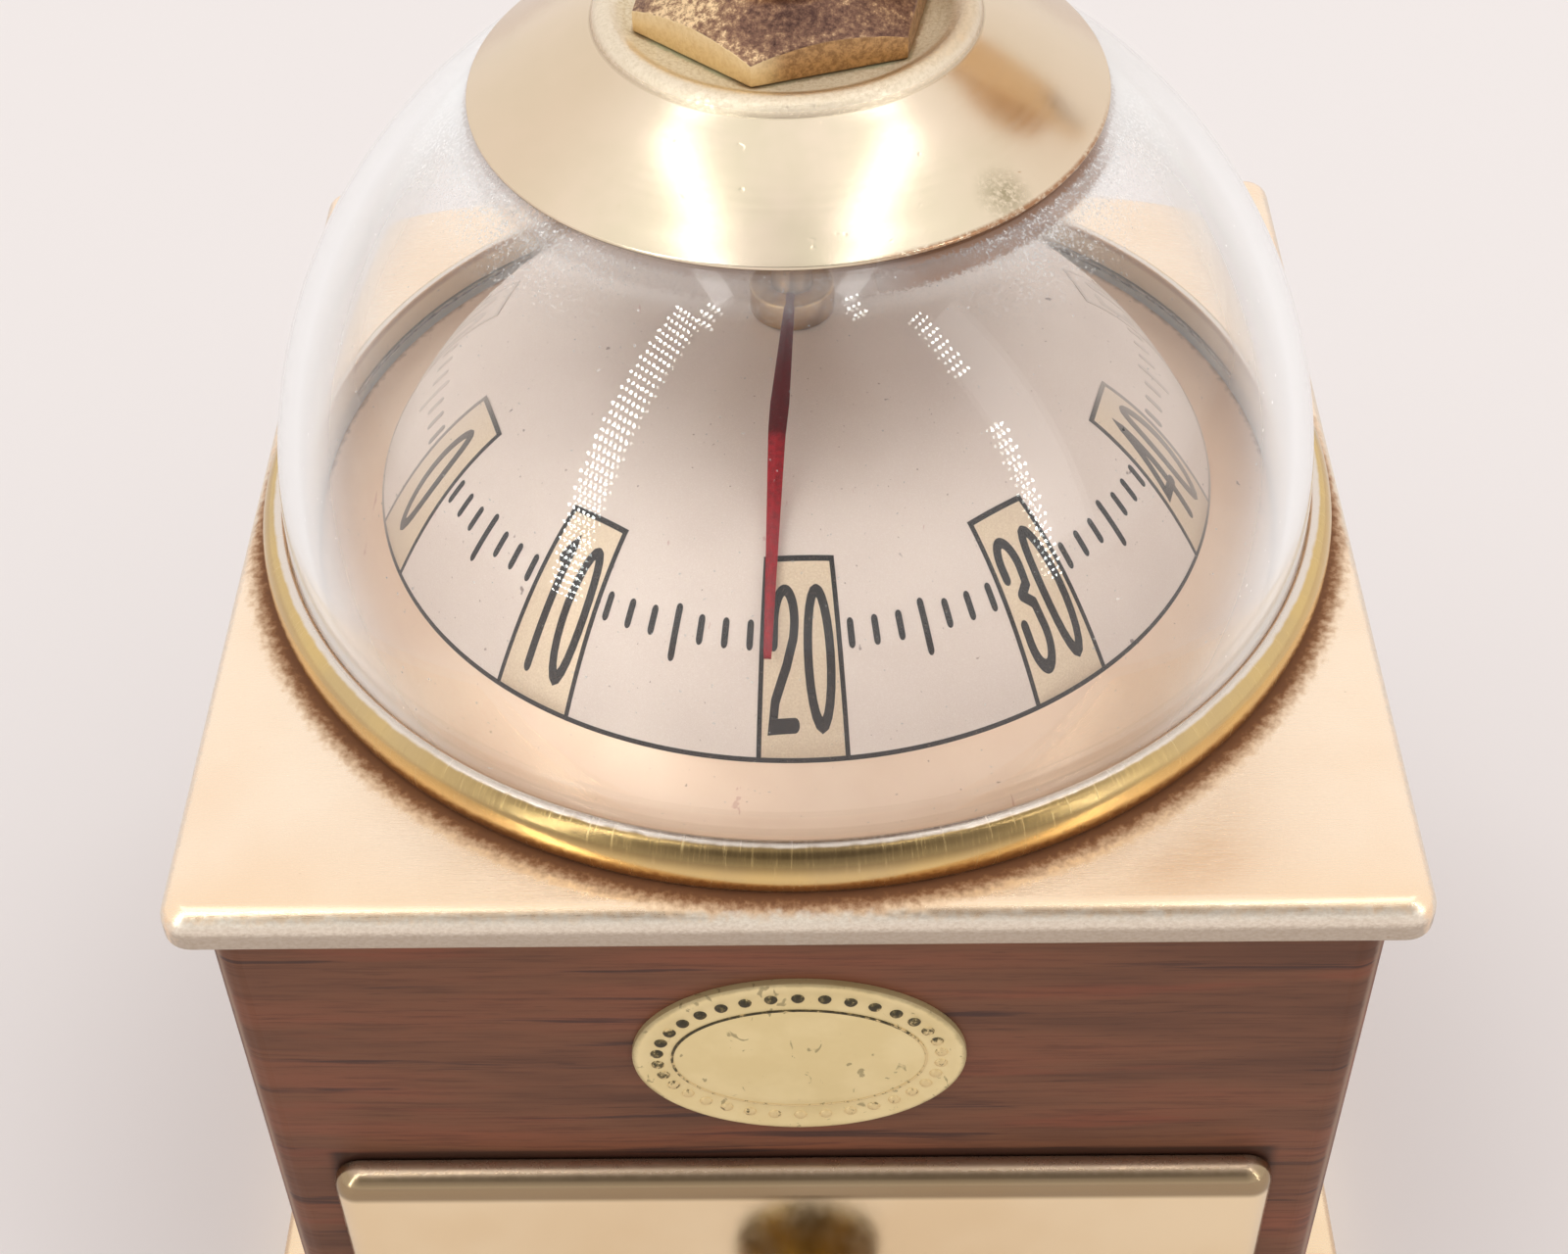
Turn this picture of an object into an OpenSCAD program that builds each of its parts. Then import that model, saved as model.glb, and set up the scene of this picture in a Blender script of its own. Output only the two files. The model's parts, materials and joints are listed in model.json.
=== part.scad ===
// Wind-up kitchen timer in the shape of a small coffee mill.
// A wood-grained case stands on a brass base, has a pull-out drawer and carries a clear dome.
// Under the dome a pointer turns over a fixed bell-shaped dial when the crank is wound.
// Origin: centre of the felt underside. +Z up, front (drawer and plaque) towards -Y. Millimetres.

/* [Case] */
// Width and depth of the square top plate
plate_w = 89; // [89:1:93]
// Height of the top plate's turned-down edge
plate_h = 3.4; // [3:0.1:4]
// Width and depth of the wood-grained case
case_w = 84.7; // [84:0.1:85]
// Height of the case that shows between the base plate and the top plate
case_h = 76; // [76:1:84]
// Wall of the case
case_wall = 2.4; // [2:0.1:2.8]
// Width and depth of the base plate
base_w = 104; // [100:1:112]
// Height of the base plate's rim
base_h = 5; // [4.5:0.1:6]
// Thickness of the felt that the timer stands on
felt_t = 1.2; // [1:0.1:1.5]

/* [Drawer] */
// Width of the drawer front
front_w = 74.2; // [72:0.1:76]
// Height of the drawer front
front_h = 43; // [40:0.5:44]
// Thickness of the drawer front
front_t = 2.35; // [2:0.05:2.6]
// Depth of the drawer tray from front to back
tray_d = 64; // [50:1:70]
// Diameter of the drawer knob
knob_d = 12.6; // [11:0.1:14]

/* [Dome and dial] */
// Outer radius of the clear dome
dome_r = 40.9; // [40.5:0.1:41]
// Wall of the dome
dome_wall = 1.6; // [1.2:0.1:2]
// Radius of the line round the dial's printed scale
dial_r = 33.25; // [32.5:0.05:33.5]
// Height of the dial's crown above the top plate
dial_h = 18.4; // [18:0.1:18.6]
// Reading of the pointer at rest, in minutes
reading = 18.76; // [0:0.01:90]

/* [Crank] */
// Size across the flats of the crank's hexagonal hub
hub_af = 18.96; // [18:0.01:19.2]
// Distance from the spindle to the crank knob's pin
crank_r = 42; // [36:1:44]
// Direction of the crank at rest, from the front towards the right, in degrees
crank_az = 108; // [90:1:120]

/* [Movement] */
// Teeth of the escape wheel
escape_teeth = 15; // [12:1:18]
// Diameter of the balance wheel
balance_d = 15; // [13:0.5:15]

/* [Hidden] */
$fn = 96;

// Heights of the stack, from the table up
rim_z = 1;                            // underside of the base plate's rim
case_z = rim_z + base_h;              // top of the base plate, where the case stands
plate_z = case_z + case_h + plate_h;  // top plate's upper face: the dial and dome are set from it
sheet_t = 1;                          // sheet of the base and top plates
plate_wall = 1.1;                     // turned-down edge of the top plate
base_wall = 1.2;                      // turned-down edge of the base plate
plate_hole_r = 6;                     // hole in the top plate for the spindle
corner_r = 2.5;                       // rounding of the case's upright corners
case_top_z = plate_z - sheet_t;

// Case interior
inner_w = case_w - 2 * case_wall;
block_w = 7;
block_x = inner_w / 2 - block_w / 2;
shelf_z = 51;
shelf_t = 1.5;
wood_screw_r = 1.5;
wood_screw_len = 16;
screw_head_r = 3;
wood_gap = 0.2;                       // radial clearance of a screw in wood or sheet
slide_gap = 0.3;

// Drawer, measured in the case's front
front_gap = 0.15;
front_y = -case_w / 2 - front_gap;
front_z = 9.9;
knob_z = front_z + front_h / 2;
tray_w = 64;
tray_z = 13;
tray_h = 36;
tray_wall = 1.2;
knob_bore_r = 1.25;

// Dome, ring and cap, heights above the top plate
dome_cz = 3.9;
dome_foot_z = 0.2;
dome_hole_r = 11;
dome_flange_r = 42.25;                // foot of the dome, held down by the ring
dome_flange_h = 1;
ring_r = 42.9;
ring_top_r = 41.5;
ring_top_z = 4;
cap_rim_r = 22.7;
cap_rim_z = 38.2;
cap_neck_r = 13.6;
cap_neck_z = 43.9;
cap_floor_z = 44.1;
cap_t = 0.8;
cap_hole_r = 3.5;

// Dial profile: a flat-topped bell inside the scale's line, then a hollow flare out to the ring
dial_drop = 14.6;
dial_t = 0.5;
flare_end_r = 39.2;
flare_end_z = 0.3;
function bell_z(r) = dial_h - dial_drop * pow(r / dial_r, 4);

// Spindle and crank
spindle_r = 1.5;
running = 0.05;                       // radial clearance of a shaft in its hole
minute_deg = 3.6;
zero_az = -70.94;
pointer_az = zero_az + reading * minute_deg;
hub_r = 3.2;
hub_top_z = 20.8;
pointer_t = 0.3;
pointer_sink = 0.1;                   // how far the pointer's root is let into the hub's top
hex_z = 44.35;
hex_edge_h = 1.6;                     // height of the hub's corners under its chamfer
hex_top_z = 47.6;
hex_az = -12;
chamfer_deg = 30;
boss_r = 6;
arm_z = 50;
arm_t = 2;
arm_rise = 4;
arm_end_r = 4.5;
spindle_end = 4.2;                    // how far the spindle reaches above the arm's underside
pin_r = 1.5;
knob_h = 19;
knob_gap = 0.3;

// Movement levels, absolute heights
frame_w = 66;
frame_top_z = plate_z - 3;            // upper face of the movement's top plate
frame_t = 1;
bush_r = 3;
frame_low_z = frame_top_z - 18;       // lower face of the movement's bottom plate
pillar_at = 28;
pillar_r = 2.5;
spacer_at = 19.8;
machine_screw_r = 1;
screw_gap = 0.1;                      // radial clearance of a machine screw in its hole
pivot_r = 0.5;
arbor_r = 0.75;
staff_r = 0.6;                        // lever's and balance's arbors
spring_z = frame_low_z + 1.8;
spring_h = 5;
great_z = frame_low_z + 7.6;
second_z = frame_low_z + 10;
third_z = frame_low_z + 11.8;
escape_z = frame_low_z + 13.6;
balance_z = frame_low_z + 15.2;
wheel_t = 1;
pinion_over = 0.2;                    // how far a pinion reaches past the wheel it meshes with
cam_z = frame_low_z - 1.5;

// Wheel train: gear module, and the teeth of each wheel and of every pinion
gear_m = 0.5;
great_teeth = 60;
second_teeth = 48;
third_teeth = 42;
pinion_teeth = 12;

// Arbors of the train: each is at its gear's centre distance from the one before
function polar(r, a) = [r * cos(a), r * sin(a)];
function pitch_r(n) = gear_m * n / 2;
great_a = 200;
second_a = 100;
third_a = 40;
lever_a = 10;
second_at = polar(pitch_r(great_teeth) + pitch_r(pinion_teeth), great_a);
third_at = second_at + polar(pitch_r(second_teeth) + pitch_r(pinion_teeth), second_a);
escape_at = third_at + polar(pitch_r(third_teeth) + pitch_r(pinion_teeth), third_a);
escape_r = 6;
lever_reach = 9;                      // escape wheel's centre to the lever's
balance_reach = 9.5;                  // lever's centre to the balance's
lever_at = escape_at + polar(lever_reach, lever_a);
balance_at = lever_at + polar(balance_reach, lever_a);
balance_r = balance_d / 2;

// Bell and hammer under the movement
bell_at = [-8, -8];
bell_r = 19;
bell_z = frame_low_z - 10;
bell_h = 7;
bell_t = 1;
post_r = 2;
hammer_at = [14, -28];
hammer_post_r = 1.2;
hammer_z = bell_z + 1.5;
hammer_len = 16.2;
sleeve_r = 1.8;

// Shared shapes

function arc(c, r, a0, a1, n) = [for (i = [0:n]) let (a = a0 + (a1 - a0) * i / n) c + r * [cos(a), sin(a)]];

module rounded_square(w, r) {
  square([w - 2 * r, w], center = true);
  square([w, w - 2 * r], center = true);
  for (x = [-1, 1], y = [-1, 1]) translate([x, y] * (w / 2 - r)) circle(r);
}

module at_corners(d) {
  for (x = [-1, 1], y = [-1, 1]) translate([x * d, y * d, 0]) children();
}

// Countersunk wood screw, head at z = 0 facing down, shank upwards
module wood_screw(len) {
  difference() {
    union() {
      cylinder(h = 2, r1 = screw_head_r, r2 = wood_screw_r);
      cylinder(h = len, r = wood_screw_r);
    }
    translate([-screw_head_r, -0.4, -0.1]) cube([2 * screw_head_r, 0.8, 1]);
  }
}

// Cheese-head machine screw, underside of the head at z = 0, shank downwards
module machine_screw(len, r = machine_screw_r) {
  difference() {
    union() {
      translate([0, 0, -len]) cylinder(h = len + 0.5, r = r);
      cylinder(h = 1, r = 2 * r);
    }
    translate([-2 * r, -0.25, 0.6]) cube([4 * r, 0.5, 1]);
  }
}

// Outline of a gear with straight-sided teeth, one tooth pointing along the angle phase
module gear_outline(n, phase) {
  step = 360 / n;
  tip = pitch_r(n) + 0.75 * gear_m;
  root = pitch_r(n) - 1.15 * gear_m;
  rotate(phase) polygon([for (i = [0:n - 1]) let (a = i * step) each [
    polar(root, a - 0.27 * step), polar(tip, a - 0.09 * step),
    polar(tip, a + 0.09 * step), polar(root, a + 0.27 * step)
  ]]);
}

// Wheel with its rim, four arms and a hub, its lower face at z
module wheel(n, phase, z, t, bore) {
  rim = pitch_r(n) - 2.2;
  hub = 2.2 + bore / 2;
  hub_over = 0.6;
  window_from = 3.6;
  arm = 2.2;
  translate([0, 0, z]) difference() {
    union() {
      linear_extrude(t) gear_outline(n, phase);
      cylinder(h = t + hub_over, r = hub);
    }
    for (a = [45:90:315]) rotate(a) linear_extrude(3 * t, center = true) intersection() {
      difference() {
        circle(rim);
        circle(window_from);
      }
      translate([arm, arm]) square(rim);
    }
    translate([0, 0, -1]) cylinder(h = t + 3, r = bore);
  }
}

// Arbor with a pivot at each end and its pinion: pinion level z, thickness t
module pinion_arbor(n, phase, z, t) {
  arbor(arbor_r);
  translate([0, 0, z - pinion_over]) linear_extrude(t + 2 * pinion_over) gear_outline(n, phase);
}

module arbor(r) {
  shoulder = 0.2;
  translate([0, 0, frame_low_z - 0.2]) cylinder(h = frame_top_z - frame_low_z + 0.4, r = pivot_r);
  translate([0, 0, frame_low_z + frame_t + shoulder])
    cylinder(h = frame_top_z - frame_low_z - 2 * frame_t - 2 * shoulder, r = r);
}

// Flat spiral strip from radius r0 to r1
module spiral(r0, r1, turns, t, h) {
  steps = turns * 28;
  function at(i, off) = polar(r0 + (r1 - r0) * i / steps + off, 360 * turns * i / steps);
  linear_extrude(h) polygon(concat(
    [for (i = [0:steps]) at(i, 0)],
    [for (i = [steps:-1:0]) at(i, t)]
  ));
}

// Base

module felt_pad() color("darkolivegreen") linear_extrude(felt_t) rounded_square(base_w - 3, 2);

module bottom_board() color("saddlebrown") difference() {
  translate([0, 0, felt_t]) linear_extrude(case_z - sheet_t - felt_t) rounded_square(base_w - 3, 2);
  at_corners(block_x) {
    translate([0, 0, felt_t]) cylinder(h = 2, r1 = screw_head_r, r2 = wood_screw_r);
    cylinder(h = 10, r = wood_screw_r + wood_gap);
  }
}

module base_plate() color("gold") difference() {
  translate([0, 0, rim_z]) linear_extrude(base_h) rounded_square(base_w, 3);
  translate([0, 0, rim_z - 1]) linear_extrude(base_h + 1 - sheet_t)
    rounded_square(base_w - 2 * base_wall, 2.2);
  at_corners(block_x) cylinder(h = 10, r = wood_screw_r + wood_gap);
}

module base_screws() color("silver") at_corners(block_x) translate([0, 0, felt_t]) wood_screw(wood_screw_len);

// Case

module case_shell() color("sienna") difference() {
  translate([0, 0, case_z]) linear_extrude(case_top_z - case_z) difference() {
    rounded_square(case_w, corner_r);
    square(inner_w, center = true);
  }
  translate([-tray_w / 2 - 0.6, -case_w, tray_z - slide_gap])
    cube([tray_w + 1.2, case_w, tray_h + 0.9]);
}

module corner_blocks() color("burlywood") at_corners(block_x) difference() {
  translate([-block_w / 2, -block_w / 2, case_z]) cube([block_w, block_w, case_top_z - case_z]);
  cylinder(h = felt_t + wood_screw_len, r = wood_screw_r);
}

module shelf() color("burlywood") translate([0, 0, shelf_z]) linear_extrude(shelf_t) difference() {
  square(inner_w, center = true);
  at_corners(block_x) square(block_w, center = true);
}

module drawer_runners() color("burlywood") {
  runner_w = 4.8;
  for (x = [-1, 1]) translate([x * (inner_w / 2 - block_w - runner_w / 2), 0, case_z])
    translate([-runner_w / 2, -inner_w / 2, 0])
      cube([runner_w, inner_w - 4, tray_z - slide_gap - case_z]);
}

module top_plate() color("gold") difference() {
  translate([0, 0, plate_z - plate_h]) linear_extrude(plate_h) rounded_square(plate_w, 2);
  translate([0, 0, plate_z - plate_h - 1]) linear_extrude(plate_h + 1 - sheet_t)
    rounded_square(plate_w - 2 * plate_wall, 1.5);
  translate([0, 0, plate_z - 5]) cylinder(h = 10, r = plate_hole_r);
  at_corners(spacer_at) translate([0, 0, plate_z - 5])
    cylinder(h = 10, r = machine_screw_r + screw_gap);
}

// Oval plate on the front of the case
module plaque() color("khaki") {
  plaque_r = [12.5, 9.1];
  plaque_t = 0.8;
  steps = 60;
  translate([0, -case_w / 2, plate_z - 18.9]) rotate([90, 0, 0]) linear_extrude(plaque_t)
    polygon([for (i = [0:steps - 1]) let (a = 360 * i / steps) [plaque_r[0] * cos(a), plaque_r[1] * sin(a)]]);
}

// Dome, dial and cap

module above_plate() {
  translate([0, 0, plate_z]) children();
}

module bezel_ring() color("gold") above_plate() {
  gap = 0.05;
  seat_r = dome_flange_r + 2 * gap;
  seat_z = dome_foot_z + dome_flange_h + 2 * gap;
  rotate_extrude() polygon(concat(
    [[seat_r, 0], [ring_r - 0.3, 0]],
    arc([ring_r - 1.2, 1.4], 1.2, -20, 40, 6),
    arc([ring_top_r - 0.2, ring_top_z - 0.4], 0.4, 40, 120, 4),
    [[dome_r + gap, ring_top_z - 0.5], [dome_r + gap, seat_z], [seat_r, seat_z]]
  ));
}

module dome() color("aliceblue", 0.3) above_plate() {
  inner_r = dome_r - dome_wall;
  difference() {
    union() {
      intersection() {
        translate([0, 0, dome_cz]) sphere(dome_r);
        translate([0, 0, dome_cz]) cylinder(h = dome_r, r = dome_r + 1);
      }
      translate([0, 0, dome_foot_z]) cylinder(h = dome_cz - dome_foot_z, r = dome_r);
      translate([0, 0, dome_foot_z]) cylinder(h = dome_flange_h, r = dome_flange_r);
    }
    translate([0, 0, dome_cz]) sphere(inner_r);
    translate([0, 0, -1]) cylinder(h = dome_cz + 1, r = inner_r);
    cylinder(h = 2 * dome_r, r = dome_hole_r);
  }
}

module dial() color("mistyrose") above_plate() rotate_extrude() {
  steps = 14;
  inner_r = hub_r - 0.8;
  crown = [for (i = [0:steps]) let (r = inner_r + (dial_r - inner_r) * i / steps) [r, bell_z(r)]];
  flare = [for (i = [1:6]) let (k = i / 6) [
    dial_r + (flare_end_r - dial_r) * k,
    flare_end_z + dial_t + (bell_z(dial_r) - flare_end_z - dial_t) * pow(1 - k, 1.8)
  ]];
  top = concat(crown, flare);
  under = [for (i = [len(top) - 1:-1:0]) top[i] - [0, dial_t]];
  polygon(concat(top, under));
}

// Spun cap that holds the dome down: a cone with a raised ring round the crank's hub.
// Its underside follows the dome.
module dome_cap() color("gold") above_plate() rotate_extrude() {
  seat_r = dome_r + 0.05;
  seat_steps = 8;
  seat_from = cap_neck_r + 0.4;
  seat_to = cap_rim_r - 0.5;
  top = concat(
    [[cap_rim_r, cap_rim_z + 0.3]],
    [for (i = [1:5]) let (k = i / 6) [
      cap_rim_r + (cap_neck_r - cap_rim_r) * k,
      cap_rim_z + 0.3 + (cap_neck_z - cap_rim_z - 0.3) * k + 0.25 * sin(180 * k)
    ]],
    [[cap_neck_r, cap_neck_z], [13, 44.55], [12.6, 44.85], [12.3, 44.9], [12, 44.85],
     [11.6, 44.45], [11.3, cap_floor_z], [cap_hole_r, cap_floor_z]]
  );
  under = concat(
    [[cap_hole_r, cap_floor_z - cap_t], [cap_neck_r - 0.4, cap_floor_z - cap_t]],
    [for (i = [0:seat_steps]) let (r = seat_from + (seat_to - seat_from) * i / seat_steps)
      [r, dome_cz + sqrt(seat_r * seat_r - r * r)]]
  );
  polygon(concat(top, under));
}

module cap_bush() color("goldenrod") above_plate() difference() {
  union() {
    translate([0, 0, cap_floor_z - cap_t - 2.4]) cylinder(h = 2.4, r = 6);
    translate([0, 0, cap_floor_z - cap_t]) cylinder(h = cap_t, r = cap_hole_r);
  }
  translate([0, 0, cap_floor_z - 5]) cylinder(h = 10, r = spindle_r + running);
}

// Movement frame

module train_holes(r) {
  for (p = [second_at, third_at, escape_at, lever_at, balance_at]) translate(p) circle(r);
}

module frame_plate(z) {
  translate([0, 0, z]) linear_extrude(frame_t) difference() {
    rounded_square(frame_w, 4);
    circle(bush_r);
    train_holes(pivot_r + running);
    at_corners(pillar_at) circle(machine_screw_r + screw_gap);
    children();
  }
}

module movement_top_plate() color("goldenrod") frame_plate(frame_top_z - frame_t)
  at_corners(spacer_at) circle(machine_screw_r);

module movement_bottom_plate() color("goldenrod") frame_plate(frame_low_z);

module movement_pillars() color("silver") at_corners(pillar_at) difference() {
  translate([0, 0, frame_low_z + frame_t])
    cylinder(h = frame_top_z - frame_low_z - 2 * frame_t, r = pillar_r);
  translate([0, 0, frame_low_z]) cylinder(h = 5, r = machine_screw_r);
  translate([0, 0, frame_top_z - 5]) cylinder(h = 5, r = machine_screw_r);
}

module movement_spacers() color("silver") at_corners(spacer_at) difference() {
  translate([0, 0, frame_top_z]) cylinder(h = case_top_z - frame_top_z, r = pillar_r);
  translate([0, 0, frame_top_z - 1]) cylinder(h = 5, r = machine_screw_r + screw_gap);
}

module movement_screws() color("silver") {
  at_corners(spacer_at) translate([0, 0, plate_z]) machine_screw(plate_z - frame_top_z + 0.8 * frame_t);
  at_corners(pillar_at) {
    translate([0, 0, frame_top_z]) machine_screw(4);
    translate([0, 0, frame_low_z]) mirror([0, 0, 1]) machine_screw(4);
  }
}

module spindle_bushes() color("darkgoldenrod") for (z = [frame_low_z, frame_top_z - frame_t])
  translate([0, 0, z]) difference() {
    cylinder(h = frame_t, r = bush_r);
    translate([0, 0, -1]) cylinder(h = 3, r = spindle_r + running);
  }

module mainspring() color("steelblue") translate([0, 0, spring_z]) spiral(3.1, 12, 7, 0.35, spring_h);

// Bell and hammer

module bell() color("lightsteelblue") translate([bell_at[0], bell_at[1], bell_z])
  rotate_extrude() polygon(concat(
  [[bell_r - bell_t, 0], [bell_r, 0], [bell_r, bell_h - 4]],
  arc([bell_r - 4, bell_h - 4], 4, 15, 90, 5),
  [[1.3, bell_h], [1.3, bell_h - bell_t]],
  arc([bell_r - 4, bell_h - 4], 3, 90, 15, 5),
  [[bell_r - bell_t, bell_h - 4]]
));

module bell_post() color("silver") translate([bell_at[0], bell_at[1], bell_z + bell_h]) difference() {
  cylinder(h = frame_low_z - bell_z - bell_h, r = post_r);
  translate([0, 0, -1]) cylinder(h = 3, r = machine_screw_r);
}

module bell_screw() color("silver") translate([bell_at[0], bell_at[1], bell_z + bell_h - bell_t])
  mirror([0, 0, 1]) machine_screw(bell_t + 2);

module hammer_post() color("silver") translate([hammer_at[0], hammer_at[1], hammer_z - 1.2]) {
  cylinder(h = frame_low_z - hammer_z + 1.2, r = hammer_post_r);
  cylinder(h = 0.8, r = 2.2);
}

// Close-wound return spring round the hammer's sleeve
module hammer_spring() color("steelblue") translate([hammer_at[0], hammer_at[1], hammer_z + 1.6])
  for (i = [0:5]) translate([0, 0, 0.55 * i])
    rotate_extrude() translate([sleeve_r + 0.4, 0]) circle(0.25, $fn = 24);

module hammer_arm() color("silver") {
  sleeve_h = cam_z + 0.9 - hammer_z;
  arm_h = 0.8;
  finger_tip = [1.2, -6.1];
  finger = finger_tip - hammer_at;
  translate([hammer_at[0], hammer_at[1], hammer_z]) difference() {
    union() {
      cylinder(h = sleeve_h, r = sleeve_r);
      linear_extrude(arm_h) polygon([[-1, 0], [1, 0], [0.7, hammer_len], [-0.7, hammer_len]]);
      translate([0, 0, sleeve_h - arm_h]) rotate(atan2(finger[1], finger[0])) linear_extrude(arm_h)
        polygon([[0, -1], [0, 1], [norm(finger), 0.5], [norm(finger), -0.5]]);
    }
    translate([0, 0, -1]) cylinder(h = sleeve_h + 2, r = hammer_post_r + running);
  }
}

module hammer_head() color("goldenrod") translate([hammer_at[0], hammer_at[1] + hammer_len, hammer_z - 1])
  cylinder(h = 2.8, r = 1.6);

// Spindle and what turns with it

module spindle() color("silver") {
  foot_z = frame_low_z - 1.8;
  translate([0, 0, foot_z]) cylinder(h = plate_z + arm_z + spindle_end - foot_z, r = spindle_r);
  translate([0, 0, spring_z]) cylinder(h = spring_h, r = 2.8);
}

module great_wheel() color("goldenrod") wheel(great_teeth, great_a, great_z, 1.5, spindle_r);

module strike_cam() color("goldenrod") translate([0, 0, cam_z]) difference() {
  cam_r = 4.2;
  bump_r = 0.6;
  union() {
    cylinder(h = 1, r = cam_r);
    rotate(pointer_az) translate([0, -cam_r]) cylinder(h = 1, r = bump_r);
  }
  translate([0, 0, -1]) cylinder(h = 3, r = spindle_r);
}

module pointer_hub() color("goldenrod") above_plate() difference() {
  translate([0, 0, dial_h + 0.1]) cylinder(h = hub_top_z - dial_h - 0.1, r = hub_r);
  cylinder(h = 60, r = spindle_r);
}

// Flat hand: near level from the hub, then bent down over the scale and tapered to its tip
module pointer() color("crimson") above_plate() rotate(pointer_az - 90) {
  bend_r = 17.2;
  bend_z = 20.2;
  tip_r = 30;
  tip_z = 10.7;
  root_r = spindle_r + 0.1;
  root_z = hub_top_z - pointer_sink;
  drop_t = pointer_t / cos(atan2(bend_z - tip_z, tip_r - bend_r));
  intersection() {
    translate([0, 2, 0]) rotate([90, 0, 0]) linear_extrude(4) polygon([
      [root_r, root_z], [bend_r, bend_z], [tip_r, tip_z],
      [tip_r, tip_z + drop_t], [bend_r, bend_z + pointer_t], [root_r, root_z + pointer_t]
    ]);
    linear_extrude(30) polygon([
      [root_r - 1, -0.36], [14, -0.68], [bend_r, -0.62], [tip_r + 1, -0.26],
      [tip_r + 1, 0.26], [bend_r, 0.62], [14, 0.68], [root_r - 1, 0.36]
    ]);
  }
}

module hex_hub() color("goldenrod") above_plate() difference() {
  corner = hub_af / sqrt(3);
  union() {
    intersection() {
      translate([0, 0, hex_z]) rotate(hex_az - 90) cylinder(h = hex_top_z - hex_z, r = corner, $fn = 6);
      translate([0, 0, hex_z - 1]) union() {
        cylinder(h = hex_edge_h + 1, r = corner + 0.01);
        translate([0, 0, hex_edge_h + 1])
          cylinder(h = (corner + 0.01) * tan(chamfer_deg), r1 = corner + 0.01, r2 = 0);
      }
    }
    translate([0, 0, hex_z + 1]) cylinder(h = arm_z - hex_z - 1, r = boss_r);
  }
  cylinder(h = 80, r = spindle_r);
}

module crank_turn() {
  above_plate() rotate(crank_az - 90) children();
}

// Crank arm: a flat bar with a step up before the knob
module crank_arm() color("gold") crank_turn() difference() {
  bar_w = 9;
  step_at = 12;
  step_to = 20;
  reach = crank_r + arm_end_r;
  intersection() {
    translate([0, bar_w, 0]) rotate([90, 0, 0]) linear_extrude(2 * bar_w) polygon([
      [-boss_r, arm_z], [step_at + 0.5, arm_z], [step_to + 0.5, arm_z + arm_rise],
      [reach, arm_z + arm_rise], [reach, arm_z + arm_rise + arm_t],
      [step_to - 0.5, arm_z + arm_rise + arm_t], [step_at - 0.5, arm_z + arm_t], [-boss_r, arm_z + arm_t]
    ]);
    translate([0, 0, arm_z - 1]) linear_extrude(arm_rise + arm_t + 2) {
      circle(boss_r);
      translate([crank_r, 0]) circle(arm_end_r);
      polygon([[0, -boss_r + 0.6], [crank_r, -arm_end_r + 0.3],
               [crank_r, arm_end_r - 0.3], [0, boss_r - 0.6]]);
    }
  }
  cylinder(h = 80, r = spindle_r);
  translate([crank_r, 0, 0]) cylinder(h = 80, r = pin_r);
}

// Acorn nut on the spindle's end
module crank_nut() color("goldenrod") crank_turn() difference() {
  nut_h = 3.2;
  union() {
    translate([0, 0, arm_z + arm_t]) cylinder(h = nut_h, r = 5, $fn = 6);
    translate([0, 0, arm_z + arm_t + nut_h]) intersection() {
      sphere(4);
      cylinder(h = 4, r = 5);
    }
  }
  translate([0, 0, arm_z]) cylinder(h = spindle_end, r = spindle_r);
}

// Rivet that the crank knob spins on
module knob_pin() color("silver") crank_turn() translate([crank_r, 0, 0]) {
  low = arm_z + arm_rise;
  high = low + arm_t + knob_h + 2 * knob_gap;
  low_head = [0.8, 2.6];                // height and radius of the head under the arm
  top_head = [1, 2.8];                  // height and radius of the head on the knob
  overlap = 0.4;                        // how far the pin runs into each head
  translate([0, 0, low - low_head[0]]) cylinder(h = low_head[0], r = low_head[1]);
  translate([0, 0, low - overlap]) cylinder(h = high - low + 2 * overlap, r = pin_r);
  translate([0, 0, high]) cylinder(h = top_head[0], r = top_head[1]);
}

// Turned wooden knob
module crank_knob() color("peru") crank_turn()
  translate([crank_r, 0, arm_z + arm_rise + arm_t + knob_gap]) difference() {
    rotate_extrude() polygon(concat(
      [[0, 0], [4.6, 0], [5, 0.5], [4.6, 1.4], [3.9, 2.6], [3.9, 4]],
      arc([0, 11.4], 8, -50, 78, 16),
      [[1.6, knob_h], [0, knob_h]]
    ));
    translate([0, 0, -1]) cylinder(h = knob_h + 2, r = pin_r + running);
  }

// Train

module at_xy(p) {
  translate([p[0], p[1], 0]) children();
}

module second_wheel() color("goldenrod") at_xy(second_at)
  wheel(second_teeth, second_a, second_z, wheel_t, arbor_r);

module second_pinion() color("silver") at_xy(second_at)
  pinion_arbor(pinion_teeth, great_a + 180 + 180 / pinion_teeth, great_z, 1.5);

module third_wheel() color("goldenrod") at_xy(third_at)
  wheel(third_teeth, third_a, third_z, wheel_t, arbor_r);

module third_pinion() color("silver") at_xy(third_at)
  pinion_arbor(pinion_teeth, second_a + 180 + 180 / pinion_teeth, second_z, wheel_t);

// Saw-toothed wheel that the lever holds back
module escape_wheel() color("goldenrod") at_xy(escape_at) translate([0, 0, escape_z]) difference() {
  step = 360 / escape_teeth;
  linear_extrude(0.8) polygon([for (i = [0:escape_teeth - 1]) let (a = i * step) each [
    polar(escape_r, a), polar(escape_r, a + 0.12 * step), polar(escape_r - 1.5, a + 0.5 * step)
  ]]);
  for (a = [0:90:270]) rotate(a) translate([2.6, 0, -1]) cylinder(h = 3, r = 1);
  translate([0, 0, -1]) cylinder(h = 3, r = arbor_r);
}

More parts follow.
